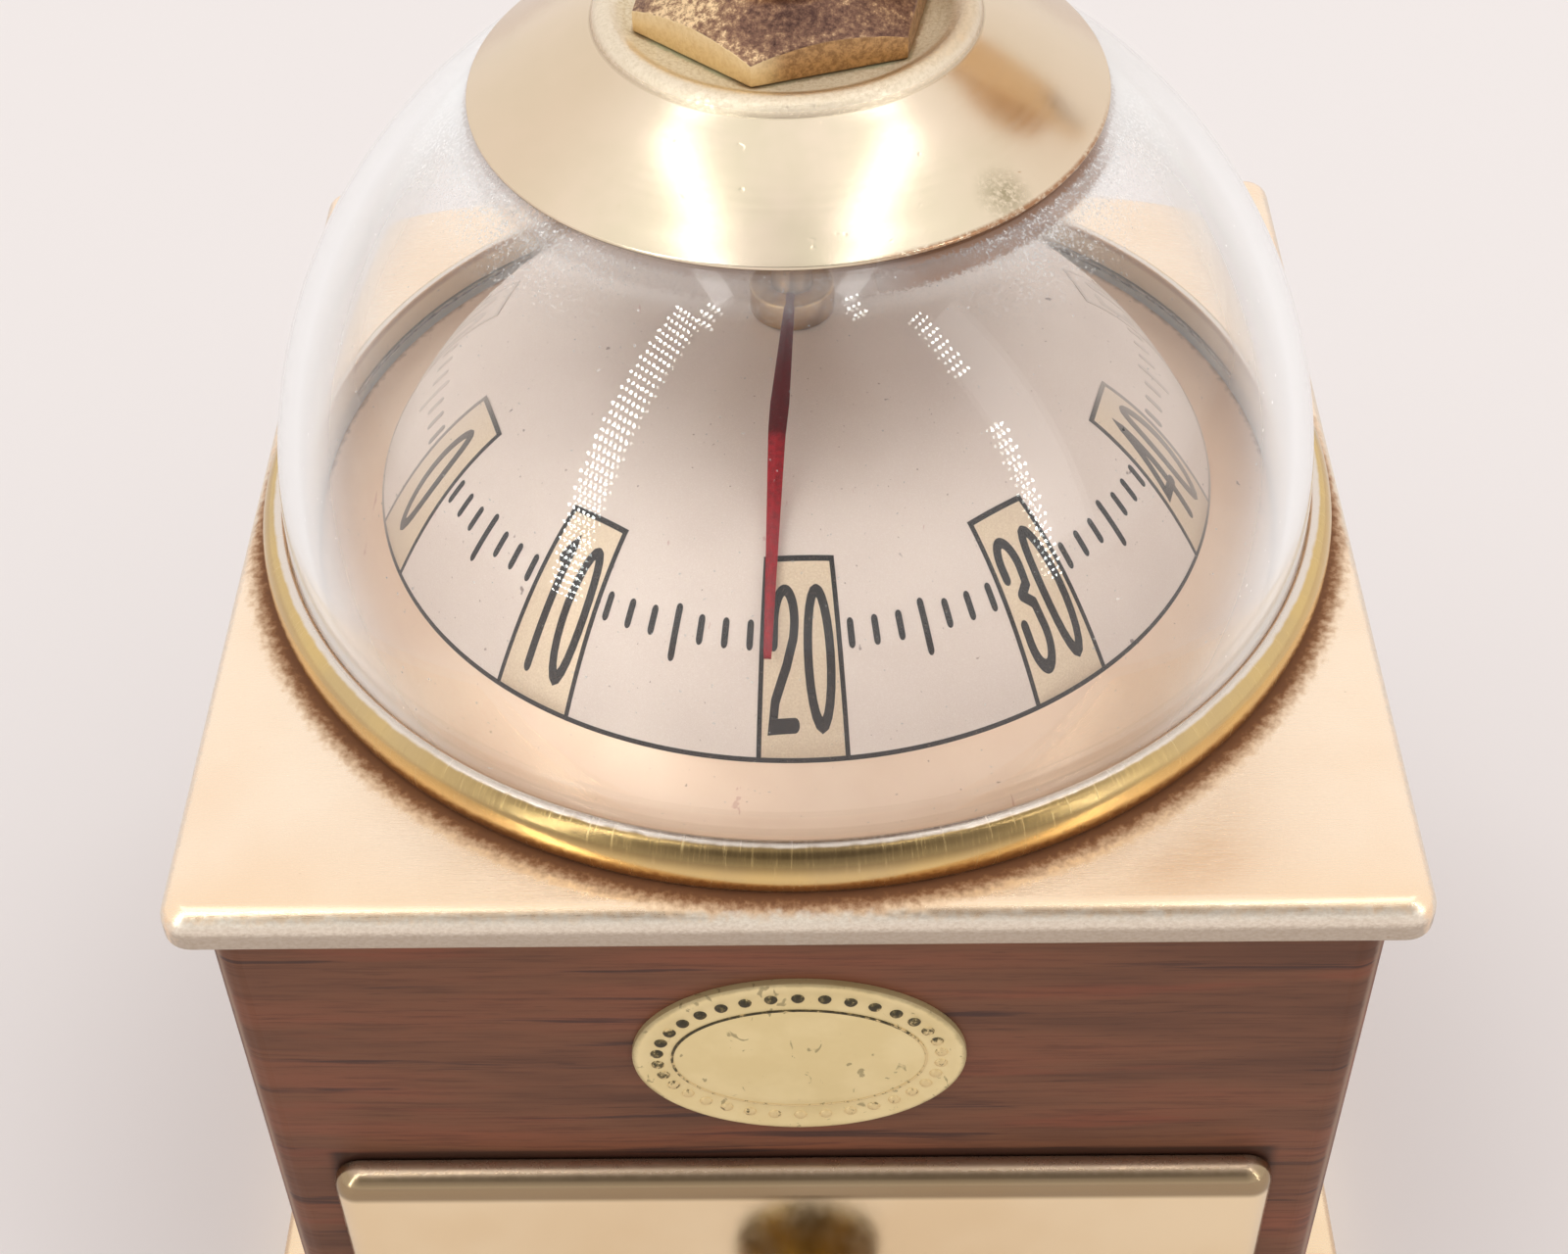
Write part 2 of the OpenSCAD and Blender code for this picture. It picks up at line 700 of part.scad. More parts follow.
module escape_pinion() color("silver") at_xy(escape_at)
  pinion_arbor(pinion_teeth, third_a + 180 + 180 / pinion_teeth, third_z, wheel_t);

// Anchor with two pallet pins on one side and a fork on the other
module pallet_lever() color("silver") at_xy(lever_at) rotate(lever_a)
  translate([0, 0, escape_z]) difference() {
  pin_at = [-lever_reach, 0] + polar(escape_r + 0.75, 38);
  linear_extrude(0.8) {
    circle(1.5);
    for (side = [0, 1]) mirror([0, side]) {
      polygon([[-1.2, 0], [0.8, 1.2], pin_at + [0.35, 0.3], pin_at + [-0.1, -0.3]]);
      translate(pin_at) circle(0.35);
    }
    polygon([[0, -0.8], [5, -0.5], [7, -1.2], [7, -0.5], [5.6, 0], [7, 0.5], [7, 1.2], [5, 0.5], [0, 0.8]]);
  }
  translate([0, 0, -1]) cylinder(h = 3, r = staff_r);
}

module lever_arbor() color("silver") at_xy(lever_at) arbor(staff_r);

module balance_wheel() color("goldenrod") at_xy(balance_at) translate([0, 0, balance_z]) {
  rim_w = 1.3;
  arm_w = 1.2;
  difference() {
    linear_extrude(0.8) {
      difference() {
        circle(balance_r);
        circle(balance_r - rim_w);
      }
      square([2 * balance_r - 1, arm_w], center = true);
      circle(1.6);
    }
    translate([0, 0, -1]) cylinder(h = 3, r = staff_r);
  }
  translate([1.15, 0, -0.4]) cylinder(h = 0.5, r = 0.25);
}

module balance_staff() color("silver") at_xy(balance_at) arbor(staff_r);

module hairspring() color("steelblue") at_xy(balance_at) translate([0, 0, balance_z + 0.95])
  spiral(0.7, 4.6, 5, 0.15, 0.5);

// Drawer

module drawer_tray() color("tan") difference() {
  translate([-tray_w / 2, front_y, tray_z]) cube([tray_w, tray_d, tray_h]);
  translate([-tray_w / 2 + tray_wall, front_y + tray_wall, tray_z + tray_wall])
    cube([tray_w - 2 * tray_wall, tray_d - 2 * tray_wall, tray_h]);
  translate([0, front_y - 1, knob_z]) rotate([-90, 0, 0])
    cylinder(h = 4, r = knob_bore_r + wood_gap);
}

module drawer_front() color("gold") difference() {
  translate([-front_w / 2, front_y - front_t, front_z]) cube([front_w, front_t, front_h]);
  translate([0, front_y - front_t - 1, knob_z]) rotate([-90, 0, 0])
    cylinder(h = 5, r = knob_bore_r + wood_gap);
}

// Mushroom knob turned from brass
module drawer_knob() color("goldenrod") translate([0, front_y - front_t, knob_z]) rotate([90, 0, 0])
  difference() {
    head_r = knob_d / 2;
    rotate_extrude() polygon(concat(
      [[0, 0], [4.6, 0], [4.6, 0.8], [3.4, 1.6], [2.7, 3], [2.7, 5], [3.4, 6.4]],
      arc([head_r - 1.5, 8.2], 1.5, -70, 40, 6),
      arc([0, 3.2], 8.4, 50, 90, 6)
    ));
    translate([0, 0, -1]) cylinder(h = 8, r = knob_bore_r);
  }

module knob_screw() color("silver") translate([0, front_y + tray_wall, knob_z]) rotate([-90, 0, 0])
  machine_screw(tray_wall + front_t + 6, knob_bore_r);

felt_pad();
bottom_board();
base_plate();
base_screws();
case_shell();
corner_blocks();
shelf();
drawer_runners();
top_plate();
plaque();
bezel_ring();
dome();
dial();
dome_cap();
cap_bush();
movement_top_plate();
movement_bottom_plate();
movement_pillars();
movement_spacers();
movement_screws();
spindle_bushes();
mainspring();
bell();
bell_post();
bell_screw();
hammer_post();
hammer_spring();
spindle();
great_wheel();
strike_cam();
pointer_hub();
pointer();
hex_hub();
crank_arm();
crank_nut();
knob_pin();
crank_knob();
second_wheel();
second_pinion();
third_wheel();
third_pinion();
escape_wheel();
escape_pinion();
pallet_lever();
lever_arbor();
balance_wheel();
balance_staff();
hairspring();
hammer_arm();
hammer_head();
drawer_tray();
drawer_front();
drawer_knob();
knob_screw();
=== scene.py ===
"""Looks of the coffee-mill kitchen timer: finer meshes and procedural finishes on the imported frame.

Shapes are worked out in millimetres in the frame's own axes: +Z up, front towards -Y.
Azimuths are in degrees from the front, growing towards +X.
"""

import json
from math import acos, atan2, ceil, cos, degrees, hypot, pi, radians, remainder, sin, sqrt, tan, tau

import bmesh
import bpy
from mathutils import Matrix, Vector


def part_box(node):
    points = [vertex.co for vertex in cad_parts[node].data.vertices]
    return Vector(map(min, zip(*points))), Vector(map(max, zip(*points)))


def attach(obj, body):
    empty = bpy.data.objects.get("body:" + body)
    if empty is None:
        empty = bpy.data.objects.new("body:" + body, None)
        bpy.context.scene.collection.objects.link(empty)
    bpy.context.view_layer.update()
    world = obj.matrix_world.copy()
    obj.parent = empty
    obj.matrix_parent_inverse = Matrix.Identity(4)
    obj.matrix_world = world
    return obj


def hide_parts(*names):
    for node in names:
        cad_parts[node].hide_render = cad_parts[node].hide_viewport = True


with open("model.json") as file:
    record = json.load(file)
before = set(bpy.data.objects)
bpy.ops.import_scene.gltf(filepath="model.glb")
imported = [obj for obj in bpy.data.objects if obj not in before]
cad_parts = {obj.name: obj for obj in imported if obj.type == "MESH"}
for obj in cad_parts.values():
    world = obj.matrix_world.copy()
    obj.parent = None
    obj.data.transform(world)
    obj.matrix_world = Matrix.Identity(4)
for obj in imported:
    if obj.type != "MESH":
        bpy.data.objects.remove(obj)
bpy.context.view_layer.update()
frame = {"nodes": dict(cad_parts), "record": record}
NODES = frame["nodes"]

MM = 0.001


def box_mm(node):
    low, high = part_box(node)
    return low / MM, high / MM


# Driving sizes, read from the frame

plate_low, plate_high = box_mm("top_plate")
base_low, base_high = box_mm("base_plate")
front_low, front_high = box_mm("drawer_front")
knob_low, knob_high = box_mm("drawer_knob")
grip_low, grip_high = box_mm("crank_knob")
arm_low, _ = box_mm("crank_arm")
hex_low, hex_high = box_mm("hex_hub")
nut_low, nut_high = box_mm("crank_nut")
plaque_low, plaque_high = box_mm("plaque")
case_low, case_high = box_mm("case_shell")

PLATE_Z = plate_high.z
PLATE_W = plate_high.x - plate_low.x
BASE_W = base_high.x - base_low.x
CASE_W = case_high.x - case_low.x
CRANK_R = hypot((grip_low.x + grip_high.x) / 2, (grip_low.y + grip_high.y) / 2)
CRANK_ANGLE = degrees(atan2(grip_low.y + grip_high.y, grip_low.x + grip_high.x))

# Dome and dial, heights above the top plate
DOME_R = 40.9
DOME_WALL = 1.6
DOME_CENTRE_Z = 3.9
DOME_HOLE_R = 11
RING_R = 42.9
RING_TOP_R = 41.5
RING_TOP_Z = 4
CAP_RIM = (22.7, 38.2)
CAP_NECK = (13.6, 43.9)
CAP_FLOOR_Z = 44.1
DIAL_R = 33.25
DIAL_TOP_Z = 18.4
DIAL_DROP = 14.6
FLARE_END = (39.2, 0.8)
HUB_R = 3.2

# Scale of the dial
MINUTE_DEG = 3.6
ZERO_AZ = -70.94
READING = 18.76
POINTER_AZ = ZERO_AZ + READING * MINUTE_DEG
HEX_AZ = -12
HEX_ACROSS = 18.96


# Segments round the dome, its ring, the cap and the dial, round the knobs, and round hub and nut
ROUND = 256
KNOB_ROUND = 128
HUB_ROUND = 96


# Outlines and solids


def polar(radius, turn):
    angle = radians(turn)
    return radius * cos(angle), radius * sin(angle)


def at_azimuth(radius, azimuth):
    return polar(radius, azimuth - 90)


def arc(centre, radius, start, end, steps):
    """Points of an arc, in degrees; radius is one number or one for each axis."""
    rx, ry = radius if isinstance(radius, tuple) else (radius, radius)
    angles = [radians(start + (end - start) * i / steps) for i in range(steps + 1)]
    return [(centre[0] + rx * cos(a), centre[1] + ry * sin(a)) for a in angles]


def fillet(corners, steps=6, closed=True):
    """Outline through corners (x, y, radius), each rounded by an arc of its radius."""
    points = []
    for i, (x, y, radius) in enumerate(corners):
        if radius == 0 or (not closed and i in (0, len(corners) - 1)):
            points.append((x, y))
            continue
        corner = Vector((x, y))
        back = Vector(corners[i - 1][:2]) - corner
        ahead = Vector(corners[(i + 1) % len(corners)][:2]) - corner
        half = back.angle(ahead) / 2
        cut = min(radius / tan(half), 0.49 * back.length, 0.49 * ahead.length)
        radius = cut * tan(half)
        back.normalize()
        ahead.normalize()
        centre = corner + (back + ahead).normalized() * radius / sin(half)
        first = corner + back * cut - centre
        last = corner + ahead * cut - centre
        start = atan2(first.y, first.x)
        turn = remainder(atan2(last.y, last.x) - start, tau)
        angles = [start + turn * k / steps for k in range(steps + 1)]
        points += [(centre.x + radius * cos(a), centre.y + radius * sin(a)) for a in angles]
    return points


def skin(loops, closed=False):
    """(vertices, faces) between loops of equal length; open ends are filled."""
    count = len(loops[0])
    vertices = [p for loop in loops for p in loop]
    faces = []
    for i in range(len(loops) if closed else len(loops) - 1):
        a, b = i * count, (i + 1) % len(loops) * count
        faces += [(a + k, a + (k + 1) % count, b + (k + 1) % count, b + k) for k in range(count)]
    if not closed:
        faces.append(tuple(range(count))[::-1])
        faces.append(tuple(range(len(vertices) - count, len(vertices))))
    return vertices, faces


def lathe(outline, segments=192):
    """(vertices, faces) of a closed outline of (radius, height) turned about Z."""
    vertices, rings = [], []
    for radius, height in outline:
        start = len(vertices)
        count = 1 if radius < 1e-6 else segments
        vertices += [(*polar(radius, 360 * k / segments), height) for k in range(count)]
        rings.append((start, count))
    faces = []
    for (a, na), (b, nb) in zip(rings, rings[1:] + rings[:1]):
        for k in range(segments):
            n = (k + 1) % segments
            corners = [a + k % na, a + n % na, b + n % nb, b + k % nb]
            corners = list(dict.fromkeys(corners))
            if len(corners) > 2:
                faces.append(tuple(corners))
    return vertices, faces


def spin(turn, axis="Z"):
    """Matrix of a turn in degrees."""
    return Matrix.Rotation(radians(turn), 4, axis)


def moved(solid, matrix):
    vertices, faces = solid
    return [tuple(matrix @ Vector(v)) for v in vertices], faces


def square_loop(half, radius, z, arc_steps=8, side_steps=8):
    """Rounded square at height z."""
    points = []
    for corner in range(4):
        turn = Matrix.Rotation(radians(90 * corner), 2)
        side = half - radius
        local = arc((side, side), radius, 0, 90, arc_steps)
        end, following = Vector(local[-1]), Vector((-side, half))
        local += [tuple(end.lerp(following, k / side_steps)) for k in range(1, side_steps)]
        points += [(*(turn @ Vector(p)), z) for p in local]
    return points


def pressing(width, corner, profile, hole_r):
    """Sheet turned down at its edge: profile holds (inset from the outer wall, height) points."""
    half = width / 2
    loops = [square_loop(half - inset, max(corner - inset, 0.15), z) for inset, z in profile]
    angles = [degrees(atan2(y, x)) for x, y, _ in loops[0]]
    top, bottom = profile[0][1], profile[-1][1]
    loops.insert(0, [(*polar(hole_r, a), top) for a in angles])
    loops.append([(*polar(hole_r, a), bottom) for a in angles])
    return skin(loops, closed=True)


def hex_prism(centre_z, edge_z, across, point_az, top_r, slope, bevel=0.12):
    """Hexagonal prism whose top is turned to a cone, down to radius top_r."""
    per_side = 16
    corner = across / sqrt(3)
    azimuths = [point_az + 360 * k / (6 * per_side) for k in range(6 * per_side)]

    def side_r(azimuth):
        off = (azimuth - point_az) % 60 - 30
        return across / 2 / cos(radians(off))

    def loop(inset, height):
        points = []
        for azimuth in azimuths:
            radius = side_r(azimuth) - inset
            cone_z = edge_z + (corner - side_r(azimuth)) * slope
            z = height if height is not None else cone_z
            points.append((radius, azimuth, z))
        return points

    rings = [loop(bevel, centre_z), loop(0, centre_z + bevel)]
    rings.append([(r, a, z - bevel * 0.8) for r, a, z in loop(0, None)])
    rings.append([(r, a, z + bevel * slope * 0.2) for r, a, z in loop(bevel * 0.4, None)])
    rings.append([(r, a, z + bevel * 1.2 * slope) for r, a, z in loop(bevel * 1.2, None)])
    for share in (0.3, 0.6, 0.85, 1):
        ring = []
        for r, a, z in loop(bevel * 1.2, None):
            radius = r + (top_r - r) * share
            ring.append((radius, a, edge_z + (corner - radius) * slope))
        rings.append(ring)
    return skin([[(*at_azimuth(r, a), z) for r, a, z in ring] for ring in rings])


def new_object(name, data):
    """Object of a mesh, lamp or camera, in the scene."""
    obj = bpy.data.objects.new(name, data)
    bpy.context.scene.collection.objects.link(obj)
    return obj


def make(name, solids, body, slot, replaces=(), sharp=32, finish=None):
    """A piece from solids in millimetres, riding on a CAD body, in its slot's finish or its own."""
    vertices, faces = [], []
    for solid_vertices, solid_faces in solids:
        start = len(vertices)
        vertices += [Vector(v) * MM for v in solid_vertices]
        faces += [tuple(start + i for i in face) for face in solid_faces]
    mesh = bpy.data.meshes.new(name)
    mesh.from_pydata(vertices, [], faces)
    work = bmesh.new()
    work.from_mesh(mesh)
    bmesh.ops.remove_doubles(work, verts=work.verts, dist=1e-7)
    bmesh.ops.recalc_face_normals(work, faces=work.faces)
    work.to_mesh(mesh)
    work.free()
    mesh.shade_smooth()
    mesh.set_sharp_from_angle(angle=radians(sharp))
    obj = new_object(name, mesh)
    mesh.materials.append(finish or FINISH[slot])
    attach(obj, body)
    if replaces:
        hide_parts(*replaces)
    return obj


# Node finishes


def srgb(code):
    """Linear colour of an sRGB one written as six hexadecimal digits."""
    shares = [c / 255 for c in bytes.fromhex(code)]
    linear = [c / 12.92 if c <= 0.04045 else ((c + 0.055) / 1.055) ** 2.4 for c in shares]
    return (*linear, 1)


class Value:
    """Number inside a material: arithmetic on it makes math nodes."""

    def __init__(self, finish, socket):
        self.finish = finish
        self.socket = socket

    def __add__(self, other):
        return self.finish.math("ADD", self, other)

    def __sub__(self, other):
        return self.finish.math("SUBTRACT", self, other)

    def __mul__(self, other):
        return self.finish.math("MULTIPLY", self, other)

    def __truediv__(self, other):
        return self.finish.math("DIVIDE", self, other)

    def __abs__(self):
        return self.finish.math("ABSOLUTE", self)


class Finish:
    """A Principled material whose node helpers work in millimetres on the piece's own coordinates.

    Colours are sRGB, as six hexadecimal digits. The attribute colour is the one built up so far.
    """

    def __init__(self, name, **sockets):
        self.material = bpy.data.materials.new(name)
        self.material.use_nodes = True
        self.tree = self.material.node_tree
        self.shader = self.tree.nodes["Principled BSDF"]
        place = self.tree.nodes.new("ShaderNodeTexCoord").outputs["Object"]
        self.mm = self.vector("SCALE", place, Scale=1 / MM)
        self.x, self.y, self.z = self.split(self.mm)
        self.set(**sockets)

    def put(self, socket, value):
        if isinstance(value, Value):
            value = value.socket
        if isinstance(value, bpy.types.NodeSocket):
            self.tree.links.new(value, socket)
        else:
            socket.default_value = srgb(value) if isinstance(value, str) else value

    def node(self, kind, inputs, **settings):
        made = self.tree.nodes.new("ShaderNode" + kind)
        for key, value in settings.items():
            setattr(made, key, value)
        for key, value in inputs.items():
            self.put(made.inputs[key], value)
        return made

    def set(self, **sockets):
        for key, value in sockets.items():
            self.put(self.shader.inputs[key.replace("_", " ")], value)
        return self

    def vector(self, operation, a, b=None, **inputs):
        slots = {0: a, **inputs}
        if b is not None:
            slots[1] = b
        made = self.node("VectorMath", slots, operation=operation)
        if operation in ("LENGTH", "DISTANCE", "DOT_PRODUCT"):
            return Value(self, made.outputs["Value"])
        return made.outputs["Vector"]

    def math(self, operation, a, b=0.5, clamp=False):
        made = self.node("Math", {0: a, 1: b}, operation=operation, use_clamp=clamp)
        return Value(self, made.outputs[0])

    def split(self, vector):
        """The three parts of a vector."""
        return [Value(self, part) for part in self.node("SeparateXYZ", {0: vector}).outputs]

    def combine(self, x, y, z):
        return self.node("CombineXYZ", {0: x, 1: y, 2: z}).outputs[0]

    def noise(self, scale, detail=3, roughness=0.5, stretch=(1, 1, 1), distortion=0, at=None):
        """Noise from 0 to 1: scale is features per millimetre, stretch multiplies it on each axis."""
        at = self.mm if at is None else at
        if stretch != (1, 1, 1):
            at = self.vector("MULTIPLY", at, stretch)
        sockets = {"Vector": at, "Scale": scale, "Detail": detail, "Roughness": roughness}
        sockets["Distortion"] = distortion
        return Value(self, self.node("TexNoise", sockets).outputs[0])

    def fade(self, value, start, end, low=0, high=1):
        """Low at start, high at end, smooth between."""
        sockets = {0: value, 1: start, 2: end, 3: low, 4: high}
        made = self.node("MapRange", sockets, interpolation_type="SMOOTHSTEP")
        return Value(self, made.outputs[0])

    def mix(self, factor, a, b):
        return self.node("Mix", {0: factor, 6: a, 7: b}, data_type="RGBA").outputs[2]

    def stain(self, factor, colour):
        """Lays a colour over the one built up so far."""
        self.colour = self.mix(factor, self.colour, colour)

    def ramp(self, value, stops):
        made = self.node("ValToRGB", {0: value})
        elements = made.color_ramp.elements
        while len(elements) < len(stops):
            elements.new(1)
        for element, (position, colour) in zip(elements, stops):
            element.position = position
            element.color = srgb(colour)
        return made.outputs[0]

    def bump(self, height, depth, over=None):
        """Normal from a height from 0 to 1 that stands depth millimetres."""
        sockets = {"Height": height, "Strength": 1, "Distance": depth * MM}
        if over is not None:
            sockets["Normal"] = over
        return self.node("Bump", sockets).outputs[0]

    def radius(self):
        """Distance from the timer's upright axis."""
        return self.vector("LENGTH", self.vector("MULTIPLY", self.mm, (1, 1, 0)))

    def azimuth(self):
        """Angle about the axis in radians, 0 at the front, positive to the right."""
        return self.math("ARCTAN2", self.x, self.y * -1)

    def near(self, point, reach):
        """1 at a point, 0 from reach millimetres away."""
        return self.fade(self.vector("DISTANCE", self.mm, point), reach, 0)


def brushed(name, colour, tint, roughness, grain, depth=0.004, **sockets):
    """Metal with fine lines: grain is the noise stretch across and along them."""
    f = Finish(name, Metallic=1, **sockets)
    lines = f.noise(1, 4, 0.6, grain)
    cloud = f.noise(0.07, 3)
    f.lines = lines
    f.colour = f.mix(f.fade(cloud, 0.35, 0.7), colour, tint)
    f.gloss = f.fade(lines, 0.2, 0.8, roughness * 0.8, roughness * 1.2)
    f.set(Base_Color=f.colour, Roughness=f.gloss, Normal=f.bump(lines, depth))
    return f


def plain_sheet(name, colour, tint, grain):
    """Brushed gold sheet without dirt."""
    return brushed(name, colour, tint, 0.27, grain, 0.0015).material


def plate_gold():
    """Satin gold sheet: faint grain along X, a painted reflection as deeper gold at the front, brown
    dirt and painted shade at the ring, bare sandy metal on the edge with its lower part painted in
    shade.
    """
    f = brushed("plate_gold", "fce6cd", "f8dec2", 0.26, (0.5, 14, 6), 0.0004)
    # Painted reflection: a deeper gold towards the front, where the plate mirrors the ring and dome.
    painted_front_reflection = f.fade(f.y, -36, -50) * 0.55
    gold = f.mix(painted_front_reflection, f.colour, "f6ce9c")
    ragged = f.noise(1.5, 5, 0.65)
    # Brown band hugging the ring: dirt, with painted shade and a painted reflection of the ring's dark
    # underside.
    off = f.radius() - RING_R
    reach = off + f.fade(ragged, 0.25, 0.75, 0.4, -0.4)
    grime_and_shade = f.fade(reach, 2.2, 0.3) * f.fade(off, -1.3, -0.8)
    share = reach * 0.3
    brown = f.ramp(share, [(0.05, "805334"), (0.25, "a47246"), (0.6, "cea068")])
    fibres = f.noise(3.2, 6, 0.8, distortion=2.5)
    lint = f.fade(fibres, 0.67, 0.71) * 0.35
    brown = f.mix(lint, brown, "d6bca0")
    f.colour = f.mix(grime_and_shade, gold, brown)
    out = f.math("MAXIMUM", abs(f.x), abs(f.y))
    edge_noise = f.noise(1.4, 4)
    worn = f.fade(out + edge_noise, PLATE_W / 2 - 0.35, PLATE_W / 2 + 0.3)
    sand = f.noise(4.5, 4, 0.7, (0.6, 1, 1))
    silver = f.mix(f.fade(sand, 0.3, 0.7), "ded0be", "f0e5d5")
    # Painted shade: the lower part of the turned-down edge is darker.
    foot = f.fade(f.z + sand * 0.4, plate_low.z + 2.3, plate_low.z + 1.6)
    silver = f.mix(foot * 0.45, silver, "705640")
    f.stain(worn, silver)
    specks = f.fade(f.noise(1.3, 2), 0.74, 0.8)
    f.stain(specks * 0.3, "967054")
    f.set(Base_Color=f.colour, Metallic=f.fade(grime_and_shade, 0.1, 0.8, 1, 0.1))
    f.set(Roughness=f.gloss + grime_and_shade * 0.45 + worn * 0.1)
    fine = f.bump(f.lines, 0.0004)
    grit = f.bump(sand * worn, 0.012, fine)
    f.set(Normal=f.bump(fibres * grime_and_shade, 0.015, grit))
    return f.material


def ring_gold():
    """Rolled gold ring: scratches, a painted dark reflection in olive-brown on the shoulder at the
    front, bare silver line on top, dirt and painted shade at its foot.
    """
    f = Finish("ring_gold")
    around = f.azimuth() * RING_R
    unrolled = f.combine(around, 0, f.z)
    nicks = f.noise(2.6, 5, 0.75, (1, 1, 0.1), at=unrolled)
    cloud = f.noise(0.12, 3)
    f.colour = f.mix(f.fade(cloud, 0.35, 0.65), "e2c284", "d4b886")
    f.stain(f.fade(nicks, 0.6, 0.8) * 0.6, "f2e2be")
    f.stain(f.fade(nicks, 0.4, 0.28) * 0.5, "967848")
    # Painted dark reflection: olive-brown on the upper shoulder, strongest at the front, broken up by
    # the scratches.
    shoulder = f.fade(f.z, PLATE_Z + 1.9, PLATE_Z + 3.2) * f.fade(nicks, 0.7, 0.5, 0.5, 0.85)
    shoulder = shoulder * f.fade(abs(f.azimuth()), 0.8, 0.35, 0.2, 1)
    f.stain(shoulder, "786240")
    top = f.z + f.noise(0.8, 5) * 0.12
    bare = f.fade(top, PLATE_Z + RING_TOP_Z - 0.06, PLATE_Z + RING_TOP_Z + 0.04)
    f.stain(bare, "e0d4c8")
    recess = f.fade(f.radius(), 42.41, 42.37) * f.fade(f.z, PLATE_Z + 1.5, PLATE_Z + 1.42)
    inside = f.math("MAXIMUM", recess, f.fade(f.radius(), DOME_R + 0.3, DOME_R + 0.12))
    wall = f.ramp(f.fade(f.z, PLATE_Z + 3.1, PLATE_Z + 3.7), [(0.1, "f0d4b2"), (0.9, "c49870")])
    f.stain(inside, wall)
    # Dirt and painted shade in the crease at the ring's foot.
    foot = f.z + f.noise(1.1, 4) * 0.9
    grime_and_shade = f.fade(foot, PLATE_Z + 0.95, PLATE_Z + 0.4)
    f.stain(grime_and_shade, "704a2a")
    rough = f.fade(nicks, 0.3, 0.8, 0.16, 0.32) + grime_and_shade * 0.3 + inside * 0.4
    f.set(Base_Color=f.colour, Roughness=rough, Metallic=f.fade(inside, 0, 1, 1, 0.1))
    dents = f.noise(0.5, 2)
    f.set(Normal=f.bump(dents, 0.01, f.bump(nicks, 0.003)))
    return f.material


def cap_gold():
    """Pressed champagne gold: smooth cone with painted shade on its flanks, finely speckled ridge, a
    darker grey-green spot, a rusty rim, and painted shade along the foot of the rim and of the ridge.
    """
    f = Finish("cap_gold", Anisotropic=0.3)
    radius = f.radius()
    azimuth = f.azimuth()
    turned = f.noise(3, 3, at=f.combine(radius, 0, 0))
    cloud = f.noise(0.07, 4, 0.6)
    f.colour = f.mix(f.fade(cloud, 0.35, 0.65), "f2e0c8", "e6d8bc")
    # Painted shade: darker on both flanks.
    painted_flank_shade = f.fade(abs(azimuth), 0.35, 1.1) * 0.7
    f.stain(painted_flank_shade, "d6bea2")
    freckle = f.noise(2.2, 5, 0.75)
    f.stain(f.fade(freckle, 0.62, 0.74) * 0.3, "ccba96")
    # A darker grey-green spot on the right flank.
    dark_patch_at = (*at_azimuth(21.2, 41.7), PLATE_Z + 39)
    dark_patch = f.math("MULTIPLY", f.near(dark_patch_at, 2.6), f.fade(freckle, 0.36, 0.56), clamp=True)
    f.stain(dark_patch * 0.85, "968a6c")
    edge = f.fade(radius, CAP_RIM[0] - 0.3, CAP_RIM[0] - 0.05)
    right = f.fade(azimuth, 0.05, 0.5) * f.fade(azimuth, 1.5, 1.1)
    rust = f.math("MULTIPLY", edge * right, f.fade(freckle, 0.34, 0.55), clamp=True)
    f.stain(rust * 0.8, "965c2c")
    # Painted shade: a dark brown line along the foot of the rim.
    under = f.fade(f.z, PLATE_Z + CAP_RIM[1] + 0.3, PLATE_Z + CAP_RIM[1] + 0.16)
    f.stain(under * 0.9, "563822")
    ridge = f.fade(radius, CAP_NECK[0] + 0.25, CAP_NECK[0] - 0.35)
    speckle = f.fade(f.noise(3.4, 6, 0.8), 0.42, 0.64)
    pale = f.mix(speckle * 0.4, "f0e0c8", "ccb894")
    f.stain(ridge, pale)
    # Painted shade: a thin dark line in the crease at the ridge's foot.
    ridge_foot_shade = f.fade(abs(radius - CAP_NECK[0]), 0.16, 0.03)
    f.stain(ridge_foot_shade * 0.3, "967c58")
    floor = f.fade(radius, 12, 11.2)
    f.stain(floor, f.mix(speckle, "f6e8cc", "decaa4"))
    sides = [abs(f.vector("DOT_PRODUCT", f.mm, (*at_azimuth(1, HEX_AZ + a), 0))) for a in (30, 90, 150)]
    hex_reach = f.math("MAXIMUM", f.math("MAXIMUM", sides[0], sides[1]), sides[2])
    crust = f.fade(hex_reach + freckle * 0.8, HEX_ACROSS / 2 + 0.75, HEX_ACROSS / 2 + 0.45)
    stain = f.mix(f.fade(cloud, 0.4, 0.6), "c4c8a0", "a87c48")
    f.stain(crust * floor * 0.8, stain)
    rough = f.fade(turned, 0.2, 0.8, 0.17, 0.22) + dark_patch * 0.25 + ridge * 0.1 + floor * 0.2
    f.set(Base_Color=f.colour, Roughness=rough, Metallic=f.fade(floor, 0, 1, 1, 0.3))
    tangent = f.node("Tangent", {}, direction_type="RADIAL", axis="Z").outputs[0]
    f.set(Tangent=tangent)
    pits = f.fade(f.noise(0.9, 1), 0.72, 0.82)
    grain = f.bump(speckle * ridge, 0.012, f.bump(freckle, 0.002))
    f.set(Normal=f.bump(pits, -0.015, f.bump(turned, 0.0005, grain)))
    return f.material


